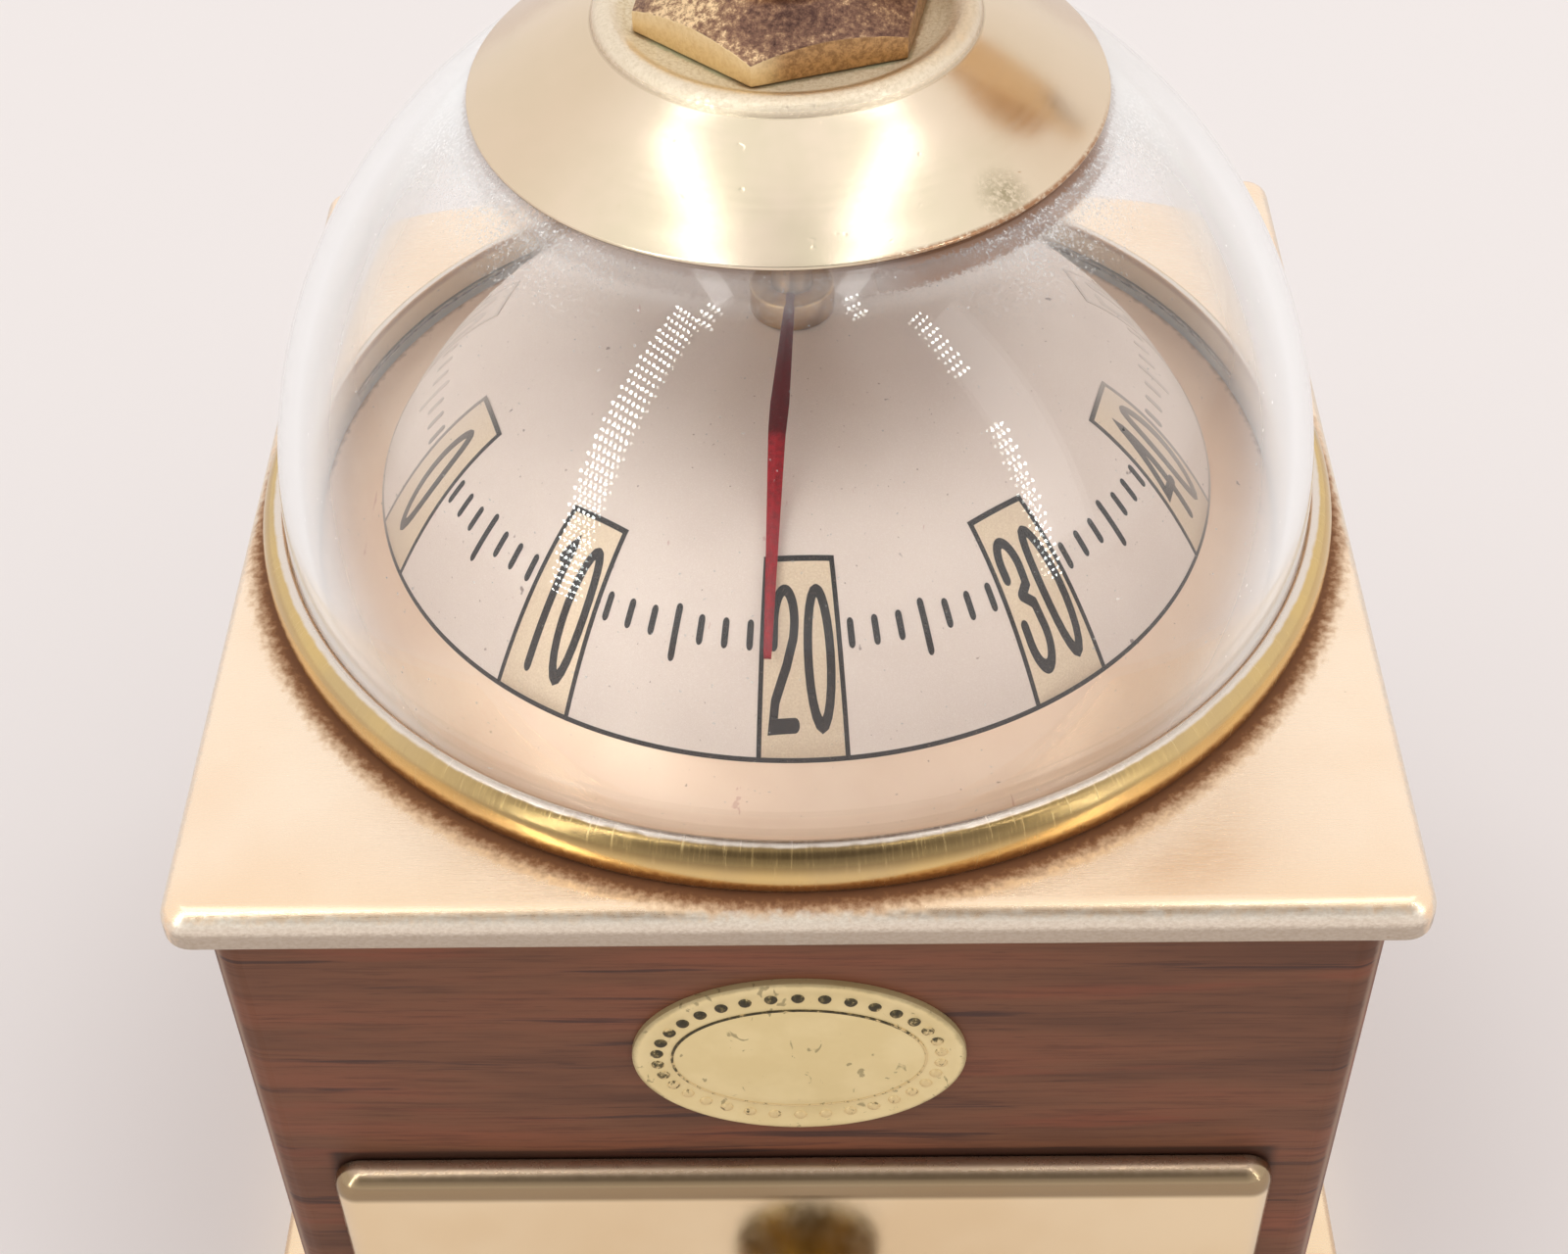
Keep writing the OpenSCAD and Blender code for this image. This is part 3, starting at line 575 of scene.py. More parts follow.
def clear_dome():
    """Clear acrylic with next to no shadow: white speckle beside the cap, brown film at its rim."""
    f = Finish("clear_dome", IOR=1.49)
    radius = f.radius()
    speckle = f.noise(3.4, 5, 0.8)
    soft = f.noise(0.35, 3)
    near_cap = f.fade(radius, CAP_RIM[0] + 6, CAP_RIM[0] + 0.5)
    azimuth = f.azimuth()
    turn = abs(azimuth)
    sides = f.fade(turn, 0.35, 0.9, 0.2, 1) * f.fade(turn, 2, 1.5, 0.3, 1)
    haze = near_cap * f.fade(speckle, 0.48, 0.68)
    haze = haze * sides * f.fade(soft, 0.3, 0.6, 0.4, 1)
    closest = f.fade(radius, CAP_RIM[0] + 1.8, CAP_RIM[0] + 0.2, 0, 0.24)
    veil = near_cap * sides * 0.14 + closest
    facing = f.node("LayerWeight", {"Blend": 0.5}).outputs["Facing"]
    # Milky haze and a painted sheen towards grazing angles.
    grazing_haze_and_sheen = f.fade(facing, 0.38, 0.76, 0, 0.85)
    dust = f.fade(f.noise(2.4, 1), 0.76, 0.8)
    scratch = f.noise(0.5, 5, 0.75, (1, 0.06, 0.5), distortion=0.6)
    hair = f.fade(scratch, 0.72, 0.74) * 0.15
    haze = haze * 0.8 + dust * 0.4 + veil + hair
    haze = f.math("ADD", haze, grazing_haze_and_sheen, clamp=True)
    right = f.fade(azimuth, 0.1, 0.5) * f.fade(azimuth, 1.5, 1)
    edge = radius + speckle * 1.4
    film = f.fade(edge, CAP_RIM[0] + 1.15, CAP_RIM[0] + 0.75) * f.fade(right, 0, 1, 0.3, 0.9)
    f.set(Base_Color=f.mix(film, (1, 1, 1, 1), "966234"))
    f.set(Transmission_Weight=f.fade(f.math("MAXIMUM", haze, film), 0, 1, 1, 0.3))
    f.set(Roughness=f.fade(haze - grazing_haze_and_sheen, 0.05, 1, 0.01, 0.3))
    lamp = f.node("LightPath", {}).outputs["Is Shadow Ray"]
    clear = f.node("BsdfTransparent", {"Color": (0.97, 0.97, 0.97, 1)}).outputs[0]
    both = f.node("MixShader", {0: lamp, 1: f.shader.outputs[0], 2: clear}).outputs[0]
    f.put(f.tree.nodes["Material Output"].inputs["Surface"], both)
    return f.material


def bleached(f):
    """How far the print has faded: from both sides of the dial to the back."""
    azimuth = abs(f.azimuth())
    return f.fade(azimuth, 1.08, 1.58) * f.fade(azimuth, 2.3, 2.9, 0.97, 0.8)


def dial_face():
    """Silvery lacquer with metal flake inside the scale's line, painted shade towards the centre under
    the cap, bare peach gold on the flare.
    """
    f = Finish("dial_face")
    radius = f.radius()
    flake = f.noise(9, 3, 0.8)
    cloud = f.noise(0.06, 4)
    silver = f.mix(f.fade(cloud, 0.3, 0.7), "e0ccbe", "d7c2b4")
    silver = f.mix(f.fade(flake, 0.45, 0.7) * 0.35, silver, "f0e3d9")
    # Painted shade: darker towards the centre, under the cap.
    under_cap_shade = f.fade(radius, 19, 7)
    silver = f.mix(under_cap_shade * 0.25, silver, "c4a892")
    peach = f.mix(f.fade(cloud, 0.35, 0.65), "e8cab0", "debca0")
    bare = f.fade(radius, DIAL_R - 0.05, DIAL_R + 0.05)
    f.colour = f.mix(bare, silver, peach)
    fine_specks = f.fade(f.noise(2.6, 1), 0.76, 0.8)
    f.stain(fine_specks * 0.6, "845c48")
    specks = f.fade(f.noise(0.8, 2), 0.75, 0.79)
    f.stain(specks * 0.7, "603e30")
    streaks = f.noise(0.4, 4, 0.7, (1, 0.16, 1), distortion=0.8)
    f.stain(f.fade(streaks, 0.69, 0.705) * 0.35, "b06054")
    foot = f.fade(radius + f.noise(1.3, 5), FLARE_END[0] - 0.1, FLARE_END[0] + 0.7)
    f.stain(foot, "967454")
    f.set(Base_Color=f.colour, Metallic=f.fade(bare, 0, 1, 0.1, 0.42))
    rough = f.fade(flake, 0.2, 0.8, 0.46, 0.62)
    f.set(Roughness=rough - bare * 0.06)
    f.set(Normal=f.bump(flake, 0.006))
    return f.material


def print_ink():
    """Thin black print with small chips, faded towards the back."""
    f = Finish("print_ink", IOR=1.2)
    chips = f.noise(5, 3, 0.7)
    f.colour = f.ramp(chips, [(0.3, "1a1310"), (0.6, "2a201b"), (0.74, "766254")])
    faded = bleached(f) * 0.95
    f.set(Base_Color=f.mix(faded, f.colour, "d4c2b5"), Roughness=f.fade(chips, 0.2, 0.8, 0.4, 0.6))
    f.set(Normal=f.bump(chips, 0.004))
    return f.material


def box_gold():
    """Pale gold-beige ground behind the numbers, faded towards the back."""
    f = Finish("box_gold", Metallic=0.3)
    flake = f.noise(8, 3, 0.8)
    f.colour = f.mix(f.fade(flake, 0.35, 0.7), "d0b597", "e0c9ad")
    faded = bleached(f) * 0.97
    f.stain(faded, "d8c5b8")
    f.set(Base_Color=f.colour, Roughness=f.fade(flake, 0.2, 0.8, 0.42, 0.56))
    f.set(Normal=f.bump(flake, 0.005))
    return f.material


def pointer_red():
    """Dark red lacquer on thin metal, with painted shade and a painted dark reflection where it lies
    under the cap.
    """
    f = Finish("pointer_red", IOR=1.2)
    brush = f.noise(3, 4, stretch=(1, 1, 1))
    red = f.mix(f.fade(brush, 0.3, 0.7), "800612", "a00c1a")
    # Painted shade and dark reflection on the level part under the cap.
    inner = f.fade(f.radius(), 18, 16.6)
    f.set(Base_Color=f.mix(inner * 0.75, red, "3c080c"))
    f.set(Roughness=f.fade(brush, 0.2, 0.8, 0.3, 0.45), Normal=f.bump(brush, 0.01))
    return f.material


def walnut_print():
    """Wood-grain print on the case: dark streaks and reddish zones along each side, a painted highlight
    down the upright corners and a painted shadow above the drawer.
    """
    f = Finish("walnut_print", IOR=1.3)
    normal = f.node("NewGeometry", {}).outputs["Normal"]
    diagonal, sheet_shift, side_shift = 0.707, 17, 40
    on_side = f.math("GREATER_THAN", abs(f.split(normal)[0]), diagonal)
    run = f.x + on_side * (f.y - f.x) + f.math("SIGN", f.x + f.y) * sheet_shift
    flat = f.combine(run, on_side * side_shift, f.z)
    sway = f.noise(0.02, 2, stretch=(1, 1, 1.6), at=flat)
    height = f.z + sway * 2
    grain = f.combine(run, on_side * side_shift, height)
    zones = f.noise(0.2, 4, stretch=(0.12, 1, 1), at=grain)
    f.colour = f.ramp(zones, [(0.3, "5e3c2c"), (0.5, "764c36"), (0.68, "844e38")])
    red = f.fade(f.noise(0.3, 3, stretch=(0.1, 1, 1), at=f.combine(run, 90, height)), 0.56, 0.7)
    f.stain(red * 0.45, "8a4632")
    fine = f.noise(2.4, 4, 0.7, (0.04, 1, 1), at=grain)
    f.stain(f.fade(fine, 0.46, 0.68) * 0.5, "50342a")
    bands = f.noise(0.7, 5, 0.6, (0.04, 1, 1), at=grain)
    dark = f.fade(bands, 0.57, 0.66)
    f.stain(dark * 0.8, "422c28")
    pores = f.noise(4, 2, stretch=(0.06, 1, 1), at=grain)
    f.stain(f.fade(pores, 0.64, 0.72) * 0.35, "36241e")
    # Painted highlight: a pale line down each upright corner.
    corner = f.math("MINIMUM", abs(f.x), abs(f.y))
    corner_highlight = f.fade(corner + fine * 0.5, CASE_W / 2 - 0.9, CASE_W / 2 - 0.45)
    f.stain(corner_highlight * 0.6, "a88e7a")
    # Painted shadow: a dark strip on the front just above the drawer.
    above = f.fade(f.z, front_high.z + 1.1, front_high.z + 0.5)
    within = f.fade(abs(f.x), front_high.x + 0.6, front_high.x - 0.6)
    ahead = f.math("LESS_THAN", f.y, case_low.y + 1)
    painted_gap_shadow = above * within * (ahead * 0.75)
    f.stain(painted_gap_shadow, "281a16")
    f.set(Base_Color=f.colour, Roughness=f.fade(fine, 0.2, 0.8, 0.38, 0.52))
    f.set(Normal=f.bump(fine, 0.008, f.bump(bands, 0.012)))
    return f.material


def drawer_gold():
    """Near-mirror satin gold: a painted dark reflection in olive-brown along the top edge, worn pinkish
    at the rim.
    """
    f = brushed("drawer_gold", "f4deba", "eed5ae", 0.18, (0.6, 1, 0.3), 0.0003)
    mid = (front_low + front_high) / 2
    size = front_high - front_low
    across = abs(f.x - mid.x)
    down = abs(f.z - mid.z)
    side = across - size.x / 2
    top = down - size.z / 2
    edge = f.math("MAXIMUM", side, top)
    worn = f.fade(edge + f.noise(1.5, 4) * 0.3, -0.35, 0.1)
    high = f.z - front_high.z
    # Painted dark reflection: olive-brown along the top edge.
    painted_top_reflection = f.fade(high, -2.9, -2.1)
    f.stain(painted_top_reflection * 0.8, "846c4e")
    f.stain(worn * 0.4, "ceb4a4")
    f.set(Base_Color=f.colour)
    f.set(Roughness=f.gloss + worn * 0.1)
    return f.material


def plaque_gold():
    """Pale pressed brass with dark patina left in the low places."""
    f = Finish("plaque_gold", Metallic=0.25)
    mid = (plaque_low + plaque_high) / 2
    pits = f.noise(0.8, 5, 0.7)
    cloud = f.noise(0.25, 3)
    f.colour = f.mix(f.fade(cloud, 0.35, 0.65), "edd7a2", "e6cf98")
    size = (plaque_high - plaque_low) / 2
    u = (f.x - mid.x) / size.x
    v = (f.z - mid.z) / size.z
    reach = f.vector("LENGTH", f.combine(u, 0, v))
    rim = f.fade(reach + pits * 0.05, 0.985, 1.02)
    f.stain(rim * 0.5, "685432")
    marks = f.fade(f.noise(0.75, 3, stretch=(1, 1, 0.7), distortion=1.2), 0.65, 0.7)
    f.stain(marks * 0.6, "786a44")
    f.set(Base_Color=f.colour, Roughness=f.fade(pits, 0.2, 0.8, 0.36, 0.52))
    f.set(Normal=f.bump(pits, 0.015))
    return f.material


def plaque_patina():
    """Patina on the plaque's beads and line: dark at the top left, rubbed off at the bottom right."""
    f = Finish("plaque_patina", Metallic=0.4)
    rub = f.noise(1.6, 5, 0.75)
    mid = (plaque_low + plaque_high) / 2
    up = f.z - mid.z
    across = (f.x - mid.x) * -0.25
    worn = f.fade(up + across, 6, -3.5, -0.04, 0.2)
    share = rub + worn
    f.colour = f.ramp(share, [(0.46, "3e3622"), (0.57, "6e603c"), (0.63, "dec592")])
    f.set(Base_Color=f.colour, Roughness=f.fade(rub, 0.2, 0.8, 0.4, 0.6), Normal=f.bump(rub, 0.02))
    return f.material


def hub_brass():
    """Brass hub: yellow flats with painted shade on the right, and a mottled purple-brown patina on the
    cone with a painted highlight on its left.
    """
    f = Finish("hub_brass", Metallic=1)
    mottle = f.noise(2, 6, 0.8)
    cloud = f.noise(0.22, 3)
    # Patina on the cone, with a painted highlight: more gold towards the left.
    share = mottle * 0.8 + cloud * 0.3 + f.fade(f.x, -8, 1, 0.09, -0.01)
    patina = f.ramp(share, [(0.42, "523c36"), (0.54, "7c5d4e"), (0.62, "a28064"), (0.7, "eecea2")])
    brass = f.mix(f.fade(mottle, 0.35, 0.7), "ead0a2", "dcbe8e")
    # Painted shade: the flats on the right are darker.
    right = f.fade(f.x, -2.2, 0.4)
    dark_patch = f.mix(f.fade(mottle, 0.4, 0.6), "b28454", "7c5434")
    brass = f.mix(right * 0.85, brass, dark_patch)
    normal = f.node("NewGeometry", {}).outputs["Normal"]
    up = f.split(normal)[2]
    f.colour = f.mix(f.fade(up, 0.35, 0.6), brass, patina)
    # Painted shade: darker at the hex's foot, against the cap's floor.
    foot = f.fade(f.z + mottle * 0.5, hex_low.z + 0.45, hex_low.z + 0.25)
    f.stain(foot * 0.7, "785a38")
    f.set(Base_Color=f.colour, Roughness=f.fade(mottle, 0.25, 0.75, 0.26, 0.44))
    f.set(Normal=f.bump(mottle, 0.03))
    return f.material


def plain_brass(name, colour, tint, roughness=0.3):
    """Machined brass with lines in every direction and a little tarnish."""
    f = Finish(name, Metallic=1)
    lines = f.noise(3, 4, 0.65, (1, 1, 6))
    cloud = f.noise(0.25, 4)
    f.set(Base_Color=f.mix(f.fade(cloud, 0.35, 0.68), colour, tint))
    f.set(Roughness=f.fade(lines, 0.2, 0.8, roughness * 0.75, roughness * 1.25))
    f.set(Normal=f.bump(lines, 0.006))
    return f.material


def raw_wood(name, light, dark, run=(0.06, 1, 1), scale=0.8):
    """Plain wood with fibres along one axis."""
    f = Finish(name, IOR=1.45)
    rings = f.noise(scale * 0.5, 5, 0.6, run, distortion=0.3)
    fibre = f.noise(scale * 4, 4, 0.7, run)
    f.colour = f.mix(f.fade(rings, 0.35, 0.65), light, dark)
    f.stain(f.fade(fibre, 0.5, 0.7) * 0.35, dark)
    f.set(Base_Color=f.colour, Roughness=f.fade(fibre, 0.2, 0.8, 0.45, 0.65))
    f.set(Normal=f.bump(fibre, 0.03))
    return f


def knob_wood():
    """Lacquered turned wood, pale."""
    f = raw_wood("knob_wood", "e6c292", "c49868", (1, 1, 0.08), 1.2)
    f.set(Coat_Weight=0.6, Coat_Roughness=0.12)
    return f.material


def felt():
    """Dark green felt: short fibres in every direction."""
    f = Finish("felt", Sheen_Weight=0.4, Sheen_Roughness=0.5)
    fibre = f.noise(6, 6, 0.8, distortion=2)
    cloud = f.noise(0.2, 3)
    f.colour = f.mix(f.fade(fibre, 0.3, 0.7), "263422", "4a5c3c")
    f.stain(cloud * 0.3, "3c4632")
    f.set(Base_Color=f.colour, Roughness=f.fade(fibre, 0, 1, 0.85, 1), Normal=f.bump(fibre, 0.15))
    return f.material


def board(name, light, dark):
    """Pressed board with chips in it."""
    f = Finish(name, IOR=1.45)
    chips = f.noise(1.2, 4, 0.7, (0.5, 0.5, 2))
    f.colour = f.mix(f.fade(chips, 0.35, 0.65), light, dark)
    f.set(Base_Color=f.colour, Roughness=f.fade(chips, 0, 1, 0.6, 0.85), Normal=f.bump(chips, 0.04))
    return f.material


def studio_floor():
    f = Finish("studio_floor", Roughness=0.7)
    cloud = f.noise(0.004, 2)
    f.set(Base_Color=f.mix(cloud, "f3ecea", "f6f0ee"))
    return f.material


FINISH = {
    "felt": felt(),
    "board": board("board", "9c7a58", "705238"),
    "base_gold": plain_sheet("base_gold", "f8debc", "eed0aa", (0.3, 6, 4)),
    "walnut_print": walnut_print(),
    "raw_wood": raw_wood("raw_wood", "d6b68c", "b08a60").material,
    "plate_gold": plate_gold(),
    "ring_gold": ring_gold(),
    "cap_gold": cap_gold(),
    "plaque_gold": plaque_gold(),
    "clear_dome": clear_dome(),
    "dial_print": dial_face(),
    "pointer_red": pointer_red(),
    "hub_brass": hub_brass(),
    "movement_brass": plain_brass("movement_brass", "e2bc70", "cea258"),
    "steel": plain_brass("steel", "ceced0", "b8b8bc"),
    "spring_steel": plain_brass("spring_steel", "607096", "485476"),
    "bell_steel": plain_brass("bell_steel", "d8dade", "bec0c6", 0.2),
    "knob_wood": knob_wood(),
    "tray_board": board("tray_board", "ceb492", "b29470"),
    "drawer_gold": drawer_gold(),
    "knob_brass": plain_brass("knob_brass", "d6b06a", "ba9252", 0.22),
}
CRANK_GOLD = plain_sheet("crank_gold", "f6deb6", "eccea2", (2, 2, 5))
# Painted shade: the drawer knob's brass is darkened throughout to stand in for its shaded back.
SHADED_KNOB_BRASS = plain_brass("shaded_knob_brass", "746032", "544624", 0.26)
POINTER_BRASS = plain_brass("pointer_brass", "ba9666", "8a6844", 0.34)
PALE_BRASS = plain_brass("pale_brass", "e2ceb4", "ceb89a", 0.36)

# CAD nodes take their slot's finish, and those with broad edges in sight a fine bevel

for subpart in frame["record"]["subparts"]:
    mesh = NODES[subpart["node"]].data
    mesh.materials.clear()
    mesh.materials.append(FINISH[subpart["material_slot"]])

pointer_hub_mesh = NODES["pointer_hub"].data
pointer_hub_mesh.materials[0] = POINTER_BRASS
spindle_mesh = NODES["spindle"].data
spindle_mesh.materials[0] = PALE_BRASS

BEVELLED = {
    "pointer_hub": 0.2,
    "knob_pin": 0.2,
    "drawer_tray": 0.25,
    "felt_pad": 0.3,
    "bottom_board": 0.3,
    "case_shell": 0.2,
}
for node_name, width in BEVELLED.items():
    weld = NODES[node_name].modifiers.new("weld", "WELD")
    weld.merge_threshold = 1e-6
    bevel = NODES[node_name].modifiers.new("bevel", "BEVEL")
    bevel.width = width * MM
    bevel.segments = 3
    bevel.limit_method = "ANGLE"
    bevel.angle_limit = radians(40)
    bevel.harden_normals = True


# Case and plates


def turned_down(top, low, edge_r, foot_r, wall, inner_r):
    """Section of a sheet turned down at its edge, from its top out, down and back under itself."""
    flat, sheet, lip_r = 6, 1, 0.3
    corners = [(flat, top, 0), (0, top, edge_r), (0, low, foot_r), (wall, low, lip_r),
               (wall, top - sheet, inner_r), (flat, top - sheet, 0)]
    return fillet(corners, steps=8, closed=False)


def build_plates():
    profile = turned_down(PLATE_Z, plate_low.z, 1.7, 0.35, 1, 0.5)
    make("pressed_top_plate", [pressing(PLATE_W, 2.2, profile, 6)], "case", "plate_gold", ["top_plate"])
    profile = turned_down(base_high.z, base_low.z, 1.8, 0.3, 1.2, 0.6)
    base = pressing(BASE_W, 3.2, profile, 1.5)
    make("pressed_base_plate", [base], "case", "base_gold", ["base_plate"])


def build_plaque():
    mid = (plaque_low + plaque_high) / 2
    size = (plaque_high - plaque_low) / 2
    back, front = plaque_high.y, plaque_low.y
    steps = 96

    def oval(inset, y):
        return [(mid.x + (size.x - inset) * cos(tau * k / steps), y,
                 mid.z + (size.z - inset) * sin(tau * k / steps)) for k in range(steps)]

    edge = [oval(0, back), oval(0, front + 0.45)]
    edge += [oval(0.3 - 0.3 * cos(radians(a)), front + 0.45 - 0.25 * sin(radians(a)))
             for a in (30, 60, 90)]
    rim = ((0.8, 0.2), (1.1, 0.3), (2.9, 0.3), (3.1, 0.22))
    edge += [oval(inset, front + rise) for inset, rise in rim]
    edge += [oval(inset, front + 0.22 - 0.1 * (inset - 3.1) / 5) for inset in (4, 6, 8.1)]
    make("pressed_plaque", [skin(edge)], "case", "plaque_gold", ["plaque"])

    patina = plaque_patina()
    bead_count = 34
    bead_r = 0.52
    bead = lathe([(0, -0.1), *arc((0, -0.1), (bead_r, 0.34), 0, 90, 6)], 20)
    beads = []
    for k in range(bead_count):
        angle = tau * (k + 0.5) / bead_count
        place = Vector((mid.x + (size.x - 1.85) * cos(angle), front + 0.3,
                        mid.z + (size.z - 1.75) * sin(angle)))
        beads.append(moved(bead, Matrix.Translation(place) @ spin(90, "X")))
    make("plaque_beads", beads, "case", "plaque_gold", finish=patina)

    def line_loop(k):
        angle = tau * k / steps
        out = Vector((cos(angle), 0, sin(angle)))
        centre = Vector((mid.x + (size.x - 3) * out.x, front + 0.22, mid.z + (size.z - 3.1) * out.z))
        return [tuple(centre + out * dx + Vector((0, dy, 0)))
                for dx, dy in ((-0.1, 0.1), (-0.1, -0.03), (0, -0.06), (0.1, -0.03), (0.1, 0.1))]

    line = [line_loop(k) for k in range(steps)]
    make("plaque_line", [skin(line, closed=True)], "case", "plaque_gold", finish=patina)


# Dome, ring and cap


def above_plate(solid):
    return moved(solid, Matrix.Translation((0, 0, PLATE_Z)))


def make_round(name, outline, slot, replaces=(), sharp=50, finish=None):
    """Piece of the case turned from an outline with heights above the plate."""
    make(name, [above_plate(lathe(outline, ROUND))], "case", slot, replaces, sharp, finish)


def build_ring():
    bulge = arc((RING_TOP_R - 0.2, 1.7), (RING_R - RING_TOP_R + 0.2, RING_TOP_Z - 1.7), -45.5, 90, 30)
    lip_r = DOME_R + 0.06
    seat_r, seat_z = 42.35, 1.4
    inside = [(*bulge[-1], 0), (lip_r, RING_TOP_Z, 0.15), (lip_r, seat_z, 0),
              (seat_r, seat_z, 0), (seat_r, bulge[0][1], 0)]
    outline = bulge[:-1] + fillet(inside, closed=False)
    make_round("rolled_ring", outline, "ring_gold", ["bezel_ring"])


def build_dome():
    inner_r = DOME_R - DOME_WALL
    foot_r = 42.2
    outer_end = degrees(acos(DOME_HOLE_R / DOME_R))
    inner_end = degrees(acos(DOME_HOLE_R / inner_r))
    centre = (0, DOME_CENTRE_Z)
    outline = [(inner_r, 0.2), (foot_r, 0.2), (foot_r, 1.2), (DOME_R, 1.2), (DOME_R, 2.6)]
    outline += arc(centre, DOME_R, 0, outer_end, 72)
    outline += arc(centre, inner_r, inner_end, 0, 72)
    make_round("clear_dome_shell", outline, "clear_dome", ["dome"])


def build_cap():
    rim_r, rim_z = CAP_RIM
    neck_r, neck_z = CAP_NECK
    cone = []
    for i in range(1, 8):
        share = i / 8
        bulge = 0.25 * sin(pi * share)
        height = rim_z + 0.35 + (neck_z - rim_z - 0.35) * share + bulge
        cone.append((rim_r + (neck_r - rim_r) * share, height, 0))
    floor = CAP_FLOOR_Z + 0.2
    seat_r = DOME_R + 0.05
    seat = []
    for i in range(9):
        radius = neck_r + 0.4 + (rim_r - 0.5 - neck_r - 0.4) * i / 8
        seat.append((radius, DOME_CENTRE_Z + sqrt(seat_r ** 2 - radius ** 2), 0))
    corners = [(rim_r, rim_z + 0.12, 0.1), (rim_r, rim_z + 0.42, 0.16), *cone,
               (neck_r, neck_z, 0.12), (13.3, 44.7, 0.9), (12.4, 45, 0.9),
               (11.1, floor + 0.1, 0.6), (10.6, floor, 0.3), (3.5, floor, 0),
               (3.5, floor - 1, 0), (neck_r - 0.4, floor - 1, 0), *seat]
    make_round("spun_cap", fillet(corners), "cap_gold", ["dome_cap"], sharp=28)


# Dial and its print


def bell_z(radius):
    """Height of the dial's face above the plate."""
    return DIAL_TOP_Z - DIAL_DROP * (radius / DIAL_R) ** 4


def build_dial():
    thick = 0.5
    inner_r = HUB_R - 0.8
    radii = [inner_r + (DIAL_R - inner_r) * i / 40 for i in range(41)]
    top = [(r, bell_z(r)) for r in radii]
    for i in range(1, 15):
        share = i / 14
        radius = DIAL_R + (FLARE_END[0] - DIAL_R) * share
        top.append((radius, FLARE_END[1] + (bell_z(DIAL_R) - FLARE_END[1]) * (1 - share) ** 1.8))
    outline = top + [(r, z - thick) for r, z in reversed(top)]
    make_round("bell_dial", outline, "dial_print", ["dial"], sharp=40)


def dial_strip(stations, azimuth, lift, across=1):
    """Thin strip on the dial. Stations are (u, radius, normal u, normal radius, half width)."""
    sink = 0.06
    turn = radians(azimuth)
    out = Vector((sin(turn), -cos(turn)))
    side = Vector((cos(turn), sin(turn)))
    loops = []
    for u, radius, nu, nr, half in stations:
        rows = []
        for k in range(across + 1):
            offset = half * (2 * k / across - 1)
            point = side * (u + nu * offset) + out * (radius + nr * offset)
            rows.append((point.x, point.y, PLATE_Z + bell_z(point.length)))
        upper = [(x, y, z + lift) for x, y, z in rows]
        lower = [(x, y, z - sink) for x, y, z in reversed(rows)]
        loops.append(upper + lower)
    return skin(loops)


def stroke(points, width, round_ends=True):
    """Stations along a line of (u, radius) points, with mitred turns and round or square ends."""
    half = width / 2
    longest = 0.35
    dense = [Vector(points[0])]
    for point in points[1:]:
        start, end = dense[-1], Vector(point)
        pieces = ceil((end - start).length / longest)
        dense += [start.lerp(end, k / pieces) for k in range(1, pieces + 1)]
    stations = []
    for i, point in enumerate(dense):
        back = (point - dense[i - 1]).normalized() if i > 0 else None
        ahead = (dense[i + 1] - point).normalized() if i < len(dense) - 1 else None
        back = back or ahead
        ahead = ahead or back
        along = (back + ahead).normalized()
        normal = Vector((-along.y, along.x))
        stretch = 1 / max(along.dot(ahead), 0.55)
        stations.append((point.x, point.y, normal.x, normal.y, half * stretch))
    if round_ends:
        for end, sign in ((0, -1), (-1, 1)):
            u, radius, nu, nr, _ = stations[end]
            along = Vector((nr, -nu)) * sign
            cap = []
            for angle in (30, 55, 75, 86):
                reach = half * sin(radians(angle))
                cap.append((u + along.x * reach, radius + along.y * reach, nu, nr,
                            half * cos(radians(angle))))
            stations = cap[::-1] + stations if end == 0 else stations + cap
    return stations


def bowl(cx, cy, rx, ry, start, end):
    return arc((cx, cy), (rx, ry), start, end, 24)


# Strokes of the digits in a unit box: x to the right, y from the foot (0) to the head (1)
DIGITS = {
    "0": [bowl(0.5, 0.5, 0.5, 0.5, 90, 450)],
    "1": [[(0.3, 0.84), (0.62, 1), (0.62, 0)]],
    "2": [[(0, 0.56), *bowl(0.48, 0.74, 0.48, 0.26, 180, -10), (0.9, 0.6), (0.6, 0.4),
           (0.12, 0.16), (0.03, 0), (0.95, 0)]],
    "3": [[(0, 0.7), *bowl(0.47, 0.78, 0.47, 0.22, 180, -20), (0.86, 0.6), (0.42, 0.53)],
          [(0.42, 0.53), (0.86, 0.44), *bowl(0.47, 0.22, 0.47, 0.22, 20, -180), (0, 0.32)]],
    "4": [[(0.76, 0), (0.76, 1), (0, 0.28), (1, 0.28)]],
    "5": [[(0.92, 1), (0.1, 1), (0.04, 0.56), *bowl(0.48, 0.3, 0.48, 0.3, 115, -180), (0, 0.34)]],
    "6": [[*bowl(0.5, 0.74, 0.46, 0.26, 10, 180), *bowl(0.5, 0.28, 0.48, 0.28, 180, 520)]],
    "7": [[(0, 1), (0.98, 1), (0.62, 0.5), (0.38, 0)]],
    "8": [bowl(0.5, 0.76, 0.42, 0.24, -90, 270), bowl(0.5, 0.26, 0.5, 0.26, 90, 450)],
    "9": [[*bowl(0.5, 0.26, 0.46, 0.26, 190, 360), *bowl(0.5, 0.72, 0.48, 0.28, 0, 340)]],
}


